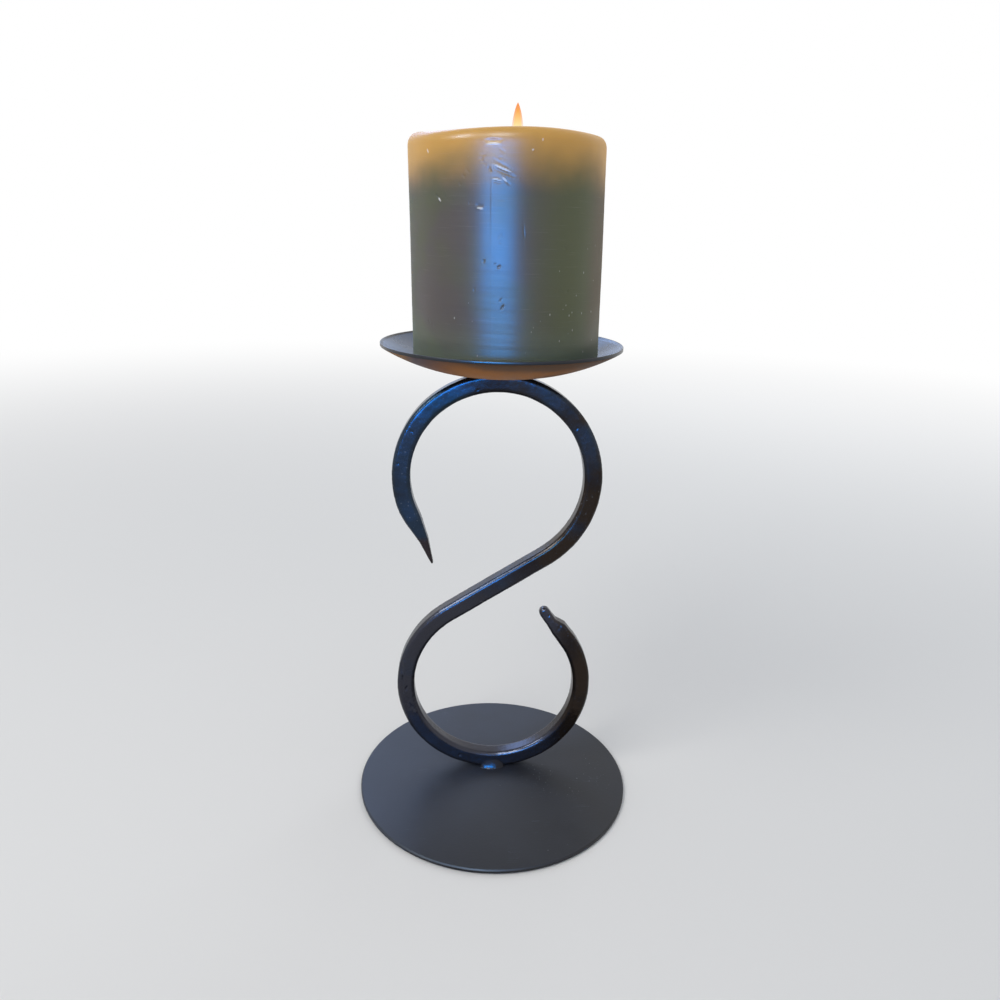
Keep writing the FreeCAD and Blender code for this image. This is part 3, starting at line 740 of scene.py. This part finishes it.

# Each chip: direction in degrees, height over the foot, length, width, depth and tilt in degrees.
# One of negative depth is a raised splinter, which is paler, partly as pale scratched wax and partly as a
# painted glint
CHIPS = (
    (-101.2, 80.9, 5.4, 1.1, 0.24, 0.0),
    (-101.2, 79.8, 5.2, 0.8, -0.14, 0.0),
    (-106.6, 76.2, 2.6, 0.5, 0.10, -14.0),
    (-108.0, 74.8, 2.2, 0.4, 0.10, 12.0),
    (-106.0, 73.6, 3.0, 0.4, 0.10, -30.0),
    (-96.6, 77.6, 2.4, 0.5, 0.10, -30.0),
    (-97.4, 75.4, 3.6, 0.4, 0.10, -12.0),
    (-103.0, 71.6, 1.9, 0.6, 0.24, -48.0),
    (-97.0, 73.4, 6.4, 0.5, 0.12, -26.0),
    (-96.4, 71.9, 6.6, 0.7, -0.10, -22.0),
    (-95.0, 70.3, 7.4, 0.6, 0.22, -20.0),
    (-99.4, 68.2, 3.4, 0.45, -0.12, -10.0),
    (-99.0, 67.3, 3.2, 0.45, 0.12, -14.0),
    (-95.2, 68.2, 2.6, 0.6, -0.14, -46.0),
    (-94.2, 67.4, 3.2, 0.6, 0.20, -42.0),
    (-117.4, 69.4, 1.5, 0.4, 0.16, -40.0),
    (-115.0, 71.0, 2.2, 0.35, 0.12, -45.0),
    (-119.6, 66.8, 0.9, 0.5, 0.16, -30.0),
    (-134.6, 62.6, 2.4, 0.8, 0.24, -38.0),
    (-133.2, 61.6, 2.0, 0.5, -0.14, -44.0),
    (-128.6, 62.4, 3.8, 0.35, 0.12, -46.0),
    (-108.6, 59.6, 3.0, 0.6, 0.16, -4.0),
    (-108.2, 58.6, 2.4, 0.7, -0.10, -8.0),
    (-114.2, 60.4, 0.7, 0.5, 0.16, 0.0),
    (-98.0, 49.0, 2.0, 0.4, 0.10, 62.0),
    (-96.2, 49.6, 1.8, 0.4, 0.10, -65.0),
    (-97.2, 47.0, 1.3, 0.5, 0.10, 20.0),
    (-96.0, 58.4, 4.6, 0.35, 0.07, 3.0),
    (-97.0, 61.4, 3.8, 0.35, 0.07, 0.0),
    (-106.2, 40.4, 1.0, 0.7, 0.24, 0.0),
    (-97.8, 38.4, 1.6, 0.7, 0.20, 30.0),
    (-100.2, 39.4, 1.0, 0.5, 0.14, -20.0),
    (-111.6, 30.2, 0.8, 0.5, 0.18, 0.0),
    (-96.8, 26.6, 1.8, 0.5, 0.16, 44.0),
    (-95.8, 24.0, 2.2, 0.7, 0.22, 56.0),
    (-143.9, 17.1, 2.2, 0.45, 0.18, -50.0),
    (-140.6, 16.2, 1.6, 0.4, 0.14, -40.0),
    (-57.5, 29.4, 1.4, 0.5, 0.16, 10.0),
    (-75.3, 81.4, 0.7, 0.6, -0.14, 0.0),
    (-80.5, 78.0, 0.7, 0.6, -0.14, 0.0),
    (-142.0, 78.2, 1.7, 0.5, -0.14, -60.0),
    (-84.6, 50.4, 0.45, 5.0, 0.10, 6.0),
    (-60.0, 45.0, 3.0, 0.4, 0.10, 12.0),
)


def columns():
    """Directions of the candle's points, in degrees."""
    fine = np.linspace(FINE_FROM, FINE_TO, FINE_COLUMNS, endpoint=False)
    plain = np.linspace(FINE_TO, FINE_FROM + 360.0, PLAIN_COLUMNS, endpoint=False)
    return np.concatenate((fine, plain))


def rows():
    """The candle's profile from its socket round to its well.

    Each row is a radius, a height, a share of the rim's unevenness and a share of the wall's marks.
    """
    height = CANDLE_TOP - CANDLE_FOOT
    made = [(0.0, SOCKET_DEPTH, 0.0, 0.0), (0.5 * SOCKET_RADIUS, SOCKET_DEPTH, 0.0, 0.0)]
    made += [(SOCKET_RADIUS, level, 0.0, 0.0) for level in SOCKET_LEVELS]
    made.append((SOCKET_RADIUS + SOCKET_BEVEL, 0.0, 0.0, 0.0))
    foot_flat = CANDLE_RADIUS - FOOT_ROUND
    made += [(radius, 0.0, 0.0, 0.0) for radius in np.linspace(FOOT_FIRST_RING, foot_flat, FOOT_RINGS)]
    for turn in np.linspace(0.0, math.pi / 2, FOOT_ROUND_ROWS)[1:]:
        out = foot_flat + FOOT_ROUND * math.sin(turn)
        made.append((out, FOOT_ROUND - FOOT_ROUND * math.cos(turn), 0.0, FOOT_MARKS_SHARE))
    rim_low = height - RIM_DEPTH
    levels = int((rim_low - FOOT_ROUND) / ROW_STEP)
    for level in np.linspace(FOOT_ROUND, rim_low, levels)[1:]:
        uneven = max(0.0, (level - rim_low + UNEVEN_DEPTH) / UNEVEN_DEPTH) ** 2
        marks = min(1.0, (level - FOOT_ROUND) / WALL_MARKS_GROW_OVER)
        made.append((CANDLE_RADIUS, level, uneven, marks))
    for turn in np.linspace(0.0, math.pi / 2, RIM_ROWS)[1:]:
        out = CANDLE_RADIUS - RIM_WIDTH * (1.0 - math.cos(turn))
        marks = 1.0 - RIM_MARKS_LOSS * turn / (math.pi / 2)
        made.append((out, rim_low + RIM_DEPTH * math.sin(turn), 1.0, marks))
    for number, (out, drop) in enumerate(WELL_PROFILE):
        uneven = max(WELL_UNEVEN_LEAST, 1.0 - WELL_UNEVEN_LOSS * number)
        made.append((out, height + drop, uneven, 0.0))
    return made


def rim_height(angle):
    """How far the rim stands over its mean level, in mm."""
    turn = np.radians(angle)
    high = sum(wave * np.sin(count * turn + shift) for wave, count, shift in RIM_WAVES) - RIM_SINK
    for swell, sharpness, direction in RIM_SWELLS:
        high += swell * np.exp(sharpness * (np.cos(turn - math.radians(direction)) - 1.0))
    return high


def round_wall(angle, direction):
    """The way along the wall from a direction to an angle, in mm."""
    return (angle - direction) * math.radians(1.0) * CANDLE_RADIUS


def wall_marks(angle, level):
    """How far the wall stands out at a place, in mm, and how pale a raised splinter makes it."""
    turn = np.radians(angle)
    out = RING_HEIGHT * np.sin(RING_RATE * level + RING_SWAY * np.sin(turn))
    for ripple, count, rate, shift in WALL_RIPPLES:
        out += ripple * np.sin(count * turn + rate * level + shift)
    swell = np.exp(-((level - SEAM_SWELL_LEVEL) / SEAM_SWELL_REACH) ** 2)
    seam = np.exp(-((round_wall(angle, SEAM_DIRECTION) / SEAM_WIDTH) ** 2))
    out += (SEAM_HEIGHT + SEAM_SWELL_HEIGHT * swell) * seam
    pale = np.zeros_like(out)
    for direction, chip_level, length, width, depth, tilt in CHIPS:
        far, across = oval(round_wall(angle, direction), level - chip_level, length, width, tilt)
        out -= depth * dent(far)
        out += LIP_SHARE * abs(depth) * np.exp(-((far - LIP_PLACE) / LIP_WIDTH) ** 2) * (across < 0.0)
        if depth < 0.0:
            pale += dent(far)
    return out, pale


def settled(points):
    """Places of the candle as it stands in the dish. The spike's socket stays over the spike."""
    moved = []
    for x, y, z in points:
        near_spike = math.hypot(x, y - AXIS_Y) < SOCKET_ZONE_RADIUS
        if near_spike and z < CANDLE_FOOT + SOCKET_DEPTH + SOCKET_ZONE_OVER:
            moved.append((x, y, z))
        else:
            rise = z - LEAN_CENTRE
            moved.append((
                x * math.cos(LEAN) - rise * math.sin(LEAN),
                y,
                LEAN_CENTRE + rise * math.cos(LEAN) + x * math.sin(LEAN),
            ))
    return moved


def candle_mesh(angles, profile):
    """Points, faces and paleness of the candle. The first and the last row are one point each."""
    turn = np.radians(angles)
    count = len(angles)
    points, rings, paleness = [], [], []
    for out, level, uneven, marks in profile:
        start = len(points)
        if out == 0.0:
            points.append((0.0, AXIS_Y, CANDLE_FOOT + level - WELL_CENTRE_DROP * uneven))
            rings.append([start])
            paleness.append(0.0)
        else:
            high = level + uneven * rim_height(angles)
            stands, pale = wall_marks(angles, high)
            wide = out + marks * stands
            paleness += list(marks * pale)
            points += list(zip(wide * np.cos(turn), AXIS_Y + wide * np.sin(turn), CANDLE_FOOT + high))
            rings.append(list(range(start, start + count)))
    return settled(points), ring_faces(rings), paleness


# Wax. A span runs from where a color starts to where it is full, in m

WAX_OLIVE = (0.079, 0.085, 0.046)
WAX_GREY = (0.084, 0.071, 0.068)
WAX_GREEN = (0.092, 0.104, 0.044)
# Honey: painted flame light, where the flame would shine through the wax
WAX_PAINTED_FLAME_LIGHT = (0.42, 0.24, 0.055)
# Painted reflection of brown surroundings at the right edge
WAX_PAINTED_BROWN_REFLECTION = (0.074, 0.050, 0.012)
# Painted light at the foot, against the shade by the dish
WAX_FOOT_PAINTED_LIGHT = (0.145, 0.170, 0.115)
WAX_CHALK = (0.42, 0.40, 0.36)
WAX_SPLINTER_AND_GLINT = (0.58, 0.58, 0.60)
WAX_GLOW = (1.0, 0.50, 0.10)
WAX_ROUGHNESS = (0.41, 0.35)
LIGHT_DEPTH = 0.004
LIGHT_DEPTH_SHARES = (1.0, 0.6, 0.25)
WAX_GREEN_SIDES = (0.006, 0.032)
WAX_BROWN_SIDES = (0.028, 0.036)
ROUGHER_BACK = (-0.018, 0.004)
ROUGHER_BACK_BY = 0.26
GLOW_SMOOTHER_BY = 0.07
GREEN_SWAY = 0.012
FOOT_SWAY = 0.016
GLOW_ARCH = 0.10
FINE_STREAKS = (60.0, 60.0, 2600.0)
COARSE_STREAKS = (25.0, 25.0, 700.0)
FLECK_STRETCH = (1.0, 1.0, 0.55)
FLECK_TURN = (0.0, 0.6, 0.0)
PALE_FOOT_FROM = 0.026
PALE_FOOT_FULL = -0.006
GLOW_DEPTH = 0.021
GLOW_STRENGTH = 0.16


def wax():
    """Olive wax: green on the right with a painted brown reflection at its edge, painted light at the foot,
    and painted flame light and glow near the top.
    """
    made, tree = new_material("wax")
    where = place(tree)
    x, y, z = split(tree, where)
    clouds = grain(tree, where, scale=26.0, detail=3.0, roughness=0.6)
    color = blended(tree, between(tree, clouds, *MOST), WAX_OLIVE, WAX_GREY)
    right = between(tree, sums(tree, "MULTIPLY_ADD", clouds, GREEN_SWAY, x), *WAX_GREEN_SIDES)
    color = blended(tree, right, color, WAX_GREEN)
    # Painted reflection: brown at the right edge
    color = blended(tree, between(tree, x, *WAX_BROWN_SIDES), color, WAX_PAINTED_BROWN_REFLECTION)
    # Painted light: pale green at the foot, with a wavy upper border
    wavy = sums(tree, "MULTIPLY_ADD", sums(tree, "SUBTRACT", clouds, 0.5), FOOT_SWAY, z)
    foot = CANDLE_FOOT * MM
    color = blended(tree, between(tree, wavy, foot + PALE_FOOT_FROM, foot + PALE_FOOT_FULL), color, WAX_FOOT_PAINTED_LIGHT)
    # Painted flame light: honey colour near the top, arched down at the sides
    wavy = sums(tree, "MULTIPLY_ADD", sums(tree, "ABSOLUTE", x), GLOW_ARCH, wavy)
    top = CANDLE_TOP * MM
    glow = between(tree, wavy, top - GLOW_DEPTH, top)
    color = blended(tree, glow, color, WAX_PAINTED_FLAME_LIGHT)
    fine = grain(tree, stretched(tree, where, FINE_STREAKS), scale=1.0, detail=3.0, roughness=0.6)
    coarse = grain(tree, stretched(tree, where, COARSE_STREAKS), scale=1.0, detail=3.0, roughness=0.55)
    color = blended(tree, between(tree, fine, 0.62, 0.75, 0.0, 0.10), color, WAX_CHALK)
    # Raised splinters: partly pale scratched wax, partly a painted glint
    splinter = node(tree, "ShaderNodeAttribute", attribute_name="splinter").outputs["Fac"]
    color = blended(tree, between(tree, splinter, 0.05, 0.7, 0.0, 0.9), color, WAX_SPLINTER_AND_GLINT)
    slanted = stretched(tree, where, FLECK_STRETCH, FLECK_TURN)
    color = marked(tree, color, specks(tree, slanted, scale=330.0, size=0.10, share=0.44), 0.8, WAX_CHALK)
    rough = between(tree, clouds, *NEARLY_ALL, *WAX_ROUGHNESS)
    rough = sums(tree, "MULTIPLY_ADD", between(tree, y, *ROUGHER_BACK), ROUGHER_BACK_BY, rough)
    rough = sums(tree, "MULTIPLY_ADD", glow, -GLOW_SMOOTHER_BY, rough)
    normal = bumped(tree, coarse, distance=0.00010, strength=0.22)
    normal = bumped(tree, fine, distance=0.00005, strength=0.35, normal=normal)
    # Painted glow near the top
    shine = sums(tree, "MULTIPLY", sums(tree, "POWER", glow, 1.6), GLOW_STRENGTH)
    shader(tree, color, rough, normal, Specular_IOR_Level=0.40, Subsurface_Weight=0.25,
           Subsurface_Scale=LIGHT_DEPTH, Subsurface_Radius=LIGHT_DEPTH_SHARES,
           Emission_Color=rgba(WAX_GLOW), Emission_Strength=shine)
    return made


wax_material = wax()
wax_points, wax_faces, wax_paleness = candle_mesh(columns(), rows())
wax_body = new_piece("candle_wax", wax_points, wax_faces, wax_material, "candle", "wax", "candle")
wax_body.data.attributes.new("splinter", "FLOAT", "POINT").data.foreach_set("value", wax_paleness)


# Melted wax in the well

MOLTEN_DARK = (0.36, 0.21, 0.06)
MOLTEN_PALE = (0.50, 0.31, 0.10)
MOLTEN_ROUGHNESS = 0.08
MOLTEN_GLOW_STRENGTH = 0.10
POOL_LEVEL = CANDLE_TOP - 5.4
POOL_COLUMNS = 96

# Radius, and how far the melt creeps up the wall there
POOL_RINGS = (
    (0.0, 0.0), (3.0, 0.0), (12.0, 0.0), (20.0, 0.0),
    (24.0, 0.02), (26.0, 0.10), (27.2, 0.35), (28.0, 0.8),
)


def molten():
    made, tree = new_material("molten_wax")
    where = place(tree)
    clouds = grain(tree, where, scale=60.0, detail=3.0, roughness=0.6)
    color = blended(tree, between(tree, clouds, *MOST), MOLTEN_DARK, MOLTEN_PALE)
    normal = bumped(tree, grain(tree, where, scale=90.0, detail=1.0), distance=0.0003, strength=0.15)
    shader(tree, color, MOLTEN_ROUGHNESS, normal, Specular_IOR_Level=0.5, Emission_Color=rgba(WAX_GLOW),
           Emission_Strength=MOLTEN_GLOW_STRENGTH)
    return made


pool_points, pool_faces = turned([(0.0, POOL_LEVEL + rise, out) for out, rise in POOL_RINGS], POOL_COLUMNS)
new_piece("melt_pool", settled(pool_points), [face[::-1] for face in pool_faces], molten(), "candle", "wax")


# Drip dish: spun thin, with a rolled edge

DISH_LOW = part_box("drip_dish")[0][2] / MM
DISH_RADIUS = 50.8
DISH_SHEET = 1.2
DISH_RISE = 11.8
DISH_FLAT = 8.0
DISH_HOLE = 1.55
DISH_HOLE_BEVEL = 0.02
DISH_STEPS = 26
DISH_COLUMNS = 256
INNER_EDGE = 0.5
DOWNWARD = -0.3

# The rolled edge: steps in from the dish's radius, and up from the edge of the outer and of the inner bowl
EDGE_OUTSIDE = ((0.12, -0.02), (0.0, 0.12))
EDGE_INSIDE = ((0.0, -0.25), (0.1, -0.06), (0.3, -0.02))


def dish_profile():
    """Radius and height from the hole along the underside, over the edge and back to the hole."""
    wide = DISH_RADIUS - DISH_FLAT
    bowl = (wide * wide + DISH_RISE * DISH_RISE) / (2.0 * DISH_RISE)
    inner = bowl - DISH_SHEET
    made = [(DISH_HOLE, DISH_HOLE_BEVEL), (DISH_FLAT, 0.0)]
    last = math.asin(wide / bowl)
    for step in range(1, DISH_STEPS):
        turn = last * step / DISH_STEPS
        made.append((DISH_FLAT + bowl * math.sin(turn), bowl * (1.0 - math.cos(turn))))
    top = bowl - math.sqrt(inner * inner - wide * wide)
    made += [(DISH_RADIUS - inset, DISH_RISE + over) for inset, over in EDGE_OUTSIDE]
    made += [(DISH_RADIUS - inset, top + over) for inset, over in EDGE_INSIDE]
    last = math.asin((wide - INNER_EDGE) / inner)
    for step in range(DISH_STEPS, 0, -1):
        turn = last * step / DISH_STEPS
        made.append((DISH_FLAT + inner * math.sin(turn), bowl - inner * math.cos(turn)))
    made += [(DISH_FLAT, DISH_SHEET), (DISH_HOLE, DISH_SHEET), (DISH_HOLE, DISH_HOLE_BEVEL)]
    return made


dish_rings = [(0.0, DISH_LOW + rise, out) for out, rise in dish_profile()]
dish_shape = turned(dish_rings, DISH_COLUMNS)
dish = new_piece("spun_dish", *dish_shape, dish_upper, "holder", "dish_coat", "drip_dish")
dish.data.materials.append(dish_under)
for face in dish.data.polygons:
    if face.normal.z < DOWNWARD:
        face.material_index = 1


# Wick: three twisted strands on one bent line, burnt at its end

WICK_BOTTOM = CANDLE_TOP - 22.0
WICK_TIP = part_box("wick")[1][2] / MM
WICK_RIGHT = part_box("wick")[1][0] / MM
WICK_INSET_TOP = 0.6
WICK_INSET_RIGHT = 1.0
WICK_BEND_FROM_SHARE = 0.55
STRANDS = 3
STRAND_POINTS = 60
STRAND_OFFSET = 0.55
STRAND_RADIUS = 0.62
STRAND_TWIST = 22.0
STRAND_TAPER_SHARE = 0.45
STRAND_TAPER_FROM_SHARE = 0.8
COTTON = (0.20, 0.15, 0.09)
BURNT = (0.010, 0.008, 0.007)
ASH = (0.10, 0.09, 0.085)
EMBER = (1.0, 0.22, 0.02)
EMBER_STRENGTH = 0.9
WICK_ROUGHNESS = 0.9

# Depths under the wick's top in m: where the cotton ends, where it is all burnt, where the ember ends
COTTON_ENDS = 0.010
BURNT_FROM = 0.006
EMBER_ENDS = 0.0022


def wick_line(share):
    """A point on the wick's middle, from inside the wax to its burnt end, in mm."""
    level = WICK_BOTTOM + (WICK_TIP - WICK_INSET_TOP - WICK_BOTTOM) * share
    bend = max(0.0, (share - WICK_BEND_FROM_SHARE) / (1.0 - WICK_BEND_FROM_SHARE))
    middle = ((WICK_RIGHT - WICK_INSET_RIGHT) * bend * bend, AXIS_Y, level)
    return Vector(settled([middle])[0])


def strand(name, phase):
    """One strand, which winds round the wick's middle and thins out at its end."""
    curve = bpy.data.curves.new(name, "CURVE")
    curve.dimensions = "3D"
    curve.bevel_depth = STRAND_RADIUS * MM
    curve.bevel_resolution = 3
    curve.use_fill_caps = True
    spline = curve.splines.new("NURBS")
    spline.points.add(STRAND_POINTS - 1)
    for number in range(STRAND_POINTS):
        share = number / (STRAND_POINTS - 1)
        turn = phase + share * STRAND_TWIST
        end_share = max(0.0, (share - STRAND_TAPER_FROM_SHARE) / (1.0 - STRAND_TAPER_FROM_SHARE))
        taper = 1.0 - STRAND_TAPER_SHARE * end_share
        off = Vector((math.cos(turn), math.sin(turn), 0.0)) * STRAND_OFFSET * taper
        spline.points[number].co = (*((wick_line(share) + off) * MM), 1.0)
        spline.points[number].radius = taper
    spline.order_u = 3
    spline.use_endpoint_u = True
    made = bpy.data.objects.new(name, curve)
    SCENE.collection.objects.link(made)
    return made


def burnt():
    """Cotton below, burnt black above, with flecks of ash and an ember at the top."""
    made, tree = new_material("burnt_wick")
    where = place(tree)
    _, _, z = split(tree, where)
    top = WICK_TIP * MM
    ash = grain(tree, where, scale=2500.0, detail=3.0, roughness=0.6)
    color = blended(tree, between(tree, z, top - COTTON_ENDS, top - BURNT_FROM), COTTON, BURNT)
    color = blended(tree, between(tree, ash, 0.60, 0.75, 0.0, 0.5), color, ASH)
    normal = bumped(tree, ash, distance=0.0001, strength=0.7)
    ember = sums(tree, "MULTIPLY", between(tree, z, top - EMBER_ENDS, top), EMBER_STRENGTH)
    shader(tree, color, WICK_ROUGHNESS, normal, Emission_Color=rgba(EMBER), Emission_Strength=ember)
    return made


burnt_material = burnt()
for number in range(STRANDS):
    one = strand(f"wick_strand_{number + 1}", number * 2.0 * math.pi / STRANDS)
    one.data.materials.append(burnt_material)
    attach(one, "candle")
    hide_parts("wick")


# Flame: a pale core in an orange mantle, standing on the wick's end

FLAME_X = 4.1
FLAME_TIP = 302.4
FLAME_FOOT = 287.4
FLAME_BEND = 3.2
BEND_SHARE = 0.35
FLAME_STEPS = 28
FLAME_COLUMNS = 32
MANTLE_WIDTH = 2.55
MANTLE_SWAY = -0.1
CORE_WIDTH = 1.95
CORE_SWAY = -0.05
CORE_FOOT = FLAME_FOOT + 0.6
CORE_TIP = FLAME_TIP - 1.8
FLAME_GROWTH = 3.2
FLAME_FOOT_POWER = 0.6
FLAME_TIP_POWERS = (2.2, 0.8)
BURNS_FROM = 0.2915
FLICKER_SHARE = 0.2
ORANGE = (1.0, 0.50, 0.12)
RED = (0.95, 0.30, 0.05)
YELLOW = (1.0, 0.95, 0.50)
BLACK = (0.0, 0.0, 0.0)
MANTLE_ALPHAS = (0.12, 0.78)
CORE_ALPHAS = (1.0, 0.9)


def flame(foot, tip, width, sway):
    """A drop shape from foot to tip, in mm, whose foot bends left to the wick."""
    slope, point = FLAME_TIP_POWERS
    rings = []
    for step in range(FLAME_STEPS + 1):
        share = step / FLAME_STEPS
        swell = min(1.0, FLAME_GROWTH * share) ** FLAME_FOOT_POWER
        radius = width * swell * (1.0 - share ** slope) ** point
        middle = FLAME_X + sway * share * share - FLAME_BEND * max(0.0, 1.0 - share / BEND_SHARE) ** 2
        rings.append((middle, foot + (tip - foot) * share, radius))
    return turned(rings, FLAME_COLUMNS)


def burning(name, low_color, high_color, low_alpha, high_alpha):
    """Light that changes its color and thickness from the flame's foot to its tip."""
    made, tree = new_material(name)
    where = place(tree)
    _, _, z = split(tree, where)
    flicker = sums(tree, "SUBTRACT", grain(tree, where, scale=300.0, detail=1.0), 0.5)
    share = between(tree, z, BURNS_FROM, FLAME_TIP * MM)
    share = sums(tree, "ADD", share, sums(tree, "MULTIPLY", flicker, FLICKER_SHARE))
    color = blended(tree, share, low_color, high_color)
    alpha = between(tree, share, 0.0, 1.0, low_alpha, high_alpha, smooth=False)
    shader(tree, BLACK, 1.0, Specular_IOR_Level=0.0, Alpha=alpha, Emission_Color=color,
           Emission_Strength=1.0)
    return made


mantle = flame(FLAME_FOOT, FLAME_TIP, MANTLE_WIDTH, MANTLE_SWAY)
core = flame(CORE_FOOT, CORE_TIP, CORE_WIDTH, CORE_SWAY)
new_piece("flame_mantle", *mantle, burning("flame_orange", ORANGE, RED, *MANTLE_ALPHAS), "candle", None)
new_piece("flame_core", *core, burning("flame_yellow", YELLOW, ORANGE, *CORE_ALPHAS), "candle", None)


# Floor, which turns white far out where it is seen

FLOOR_HALF = 6.0
FLOOR_LEVEL = -0.0002
FLOOR_COLOR = (0.80, 0.785, 0.76)
FLOOR_WHITE_FROM = 0.25
FLOOR_WHITE_FULL = 1.6
WHITE = (1.0, 1.0, 1.0)


def floor_material():
    made, tree = new_material("floor")
    x, y, _ = split(tree, place(tree))
    radius = sums(tree, "SQRT", sums(tree, "ADD", sums(tree, "MULTIPLY", x, x), sums(tree, "MULTIPLY", y, y)))
    far = between(tree, radius, FLOOR_WHITE_FROM, FLOOR_WHITE_FULL)
    share = sums(tree, "MULTIPLY", far, seen_by(tree, "Camera", "Glossy"))
    matt = node(tree, "ShaderNodeBsdfDiffuse", {"Color": rgba(FLOOR_COLOR)})
    white = node(tree, "ShaderNodeEmission", {"Color": rgba(WHITE), "Strength": 1.0})
    node(tree, "ShaderNodeOutputMaterial", {"Surface": mixed(tree, share, matt, white)})
    return made


def floor():
    mesh = bpy.data.meshes.new("floor")
    corners = ((-1.0, -1.0), (1.0, -1.0), (1.0, 1.0), (-1.0, 1.0))
    points = [(FLOOR_HALF * right, FLOOR_HALF * back, FLOOR_LEVEL) for right, back in corners]
    mesh.from_pydata(points, [], [(0, 1, 2, 3)])
    mesh.materials.append(floor_material())
    piece = bpy.data.objects.new("floor", mesh)
    SCENE.collection.objects.link(piece)


# World: white where it is seen, and a soft blue light from all sides

WORLD_LIGHT = (0.86, 0.91, 1.0)
WORLD_STRENGTH = 0.55


def world():
    made = bpy.data.worlds.new("studio")
    made.use_nodes = True
    tree = made.node_tree
    tree.nodes.clear()
    share = seen_by(tree, "Camera", "Glossy", "Transmission")
    soft = node(tree, "ShaderNodeBackground", {"Color": rgba(WORLD_LIGHT), "Strength": WORLD_STRENGTH})
    white = node(tree, "ShaderNodeBackground", {"Color": rgba(WHITE), "Strength": 1.0})
    node(tree, "ShaderNodeOutputWorld", {"Surface": mixed(tree, share, soft, white)})
    SCENE.world = made


# Lamps: name, place and target in m, width, height, power in W and color

MATT_LAMPS = (
    ("key", (-0.75, -0.55, 1.05), (0.0, 0.01, 0.16), 0.8, 0.8, 8.0, (1.0, 0.99, 0.97)),
    ("back", (0.55, 0.95, 0.85), (0.0, 0.01, 0.16), 0.8, 0.8, 4.0, (0.90, 0.95, 1.0)),
)
GLOSS_LAMPS = (
    ("window", (-0.120, -0.514, 0.234), (0.0, -0.02, 0.24), 0.32, 0.085, 5.3, (0.0, 0.32, 1.0)),
    ("window_pale", (-0.17, -0.51, 0.36), (0.0, -0.02, 0.25), 0.26, 0.07, 0.5, (0.72, 0.86, 1.0)),
    ("window_top", (-0.16, -0.62, 0.72), (0.0, 0.0, 0.25), 0.26, 0.22, 4.4, (0.74, 0.87, 1.0)),
    ("sky", (-0.45, 1.15, 0.85), (0.0, 0.0, 0.0), 0.6, 0.6, 5.0, (0.34, 0.54, 1.0)),
    ("sky_low", (0.02, 1.25, 0.42), (0.0, 0.0, 0.21), 0.7, 0.25, 0.45, (0.30, 0.52, 1.0)),
    ("edges", (-0.78, -0.42, 0.85), (0.0, 0.0, 0.11), 0.3, 0.3, 6.5, (0.66, 0.82, 1.0)),
)


def lamp(name, where, target, width, height, power, color, gloss):
    """An area lamp that lights matt surfaces only, or shows in gloss only."""
    light = bpy.data.lights.new(name, "AREA")
    light.shape = "RECTANGLE"
    light.size = width
    light.size_y = height
    light.energy = power
    light.color = color
    made = bpy.data.objects.new(name, light)
    SCENE.collection.objects.link(made)
    made.location = where
    aim = Vector(target) - Vector(where)
    made.rotation_euler = aim.to_track_quat("-Z", "Y").to_euler()
    made.visible_camera = False
    made.visible_diffuse = not gloss
    made.visible_glossy = gloss


floor()
world()
for values in MATT_LAMPS:
    lamp(*values, gloss=False)
for values in GLOSS_LAMPS:
    lamp(*values, gloss=True)


SCENE.view_settings.view_transform = "Standard"
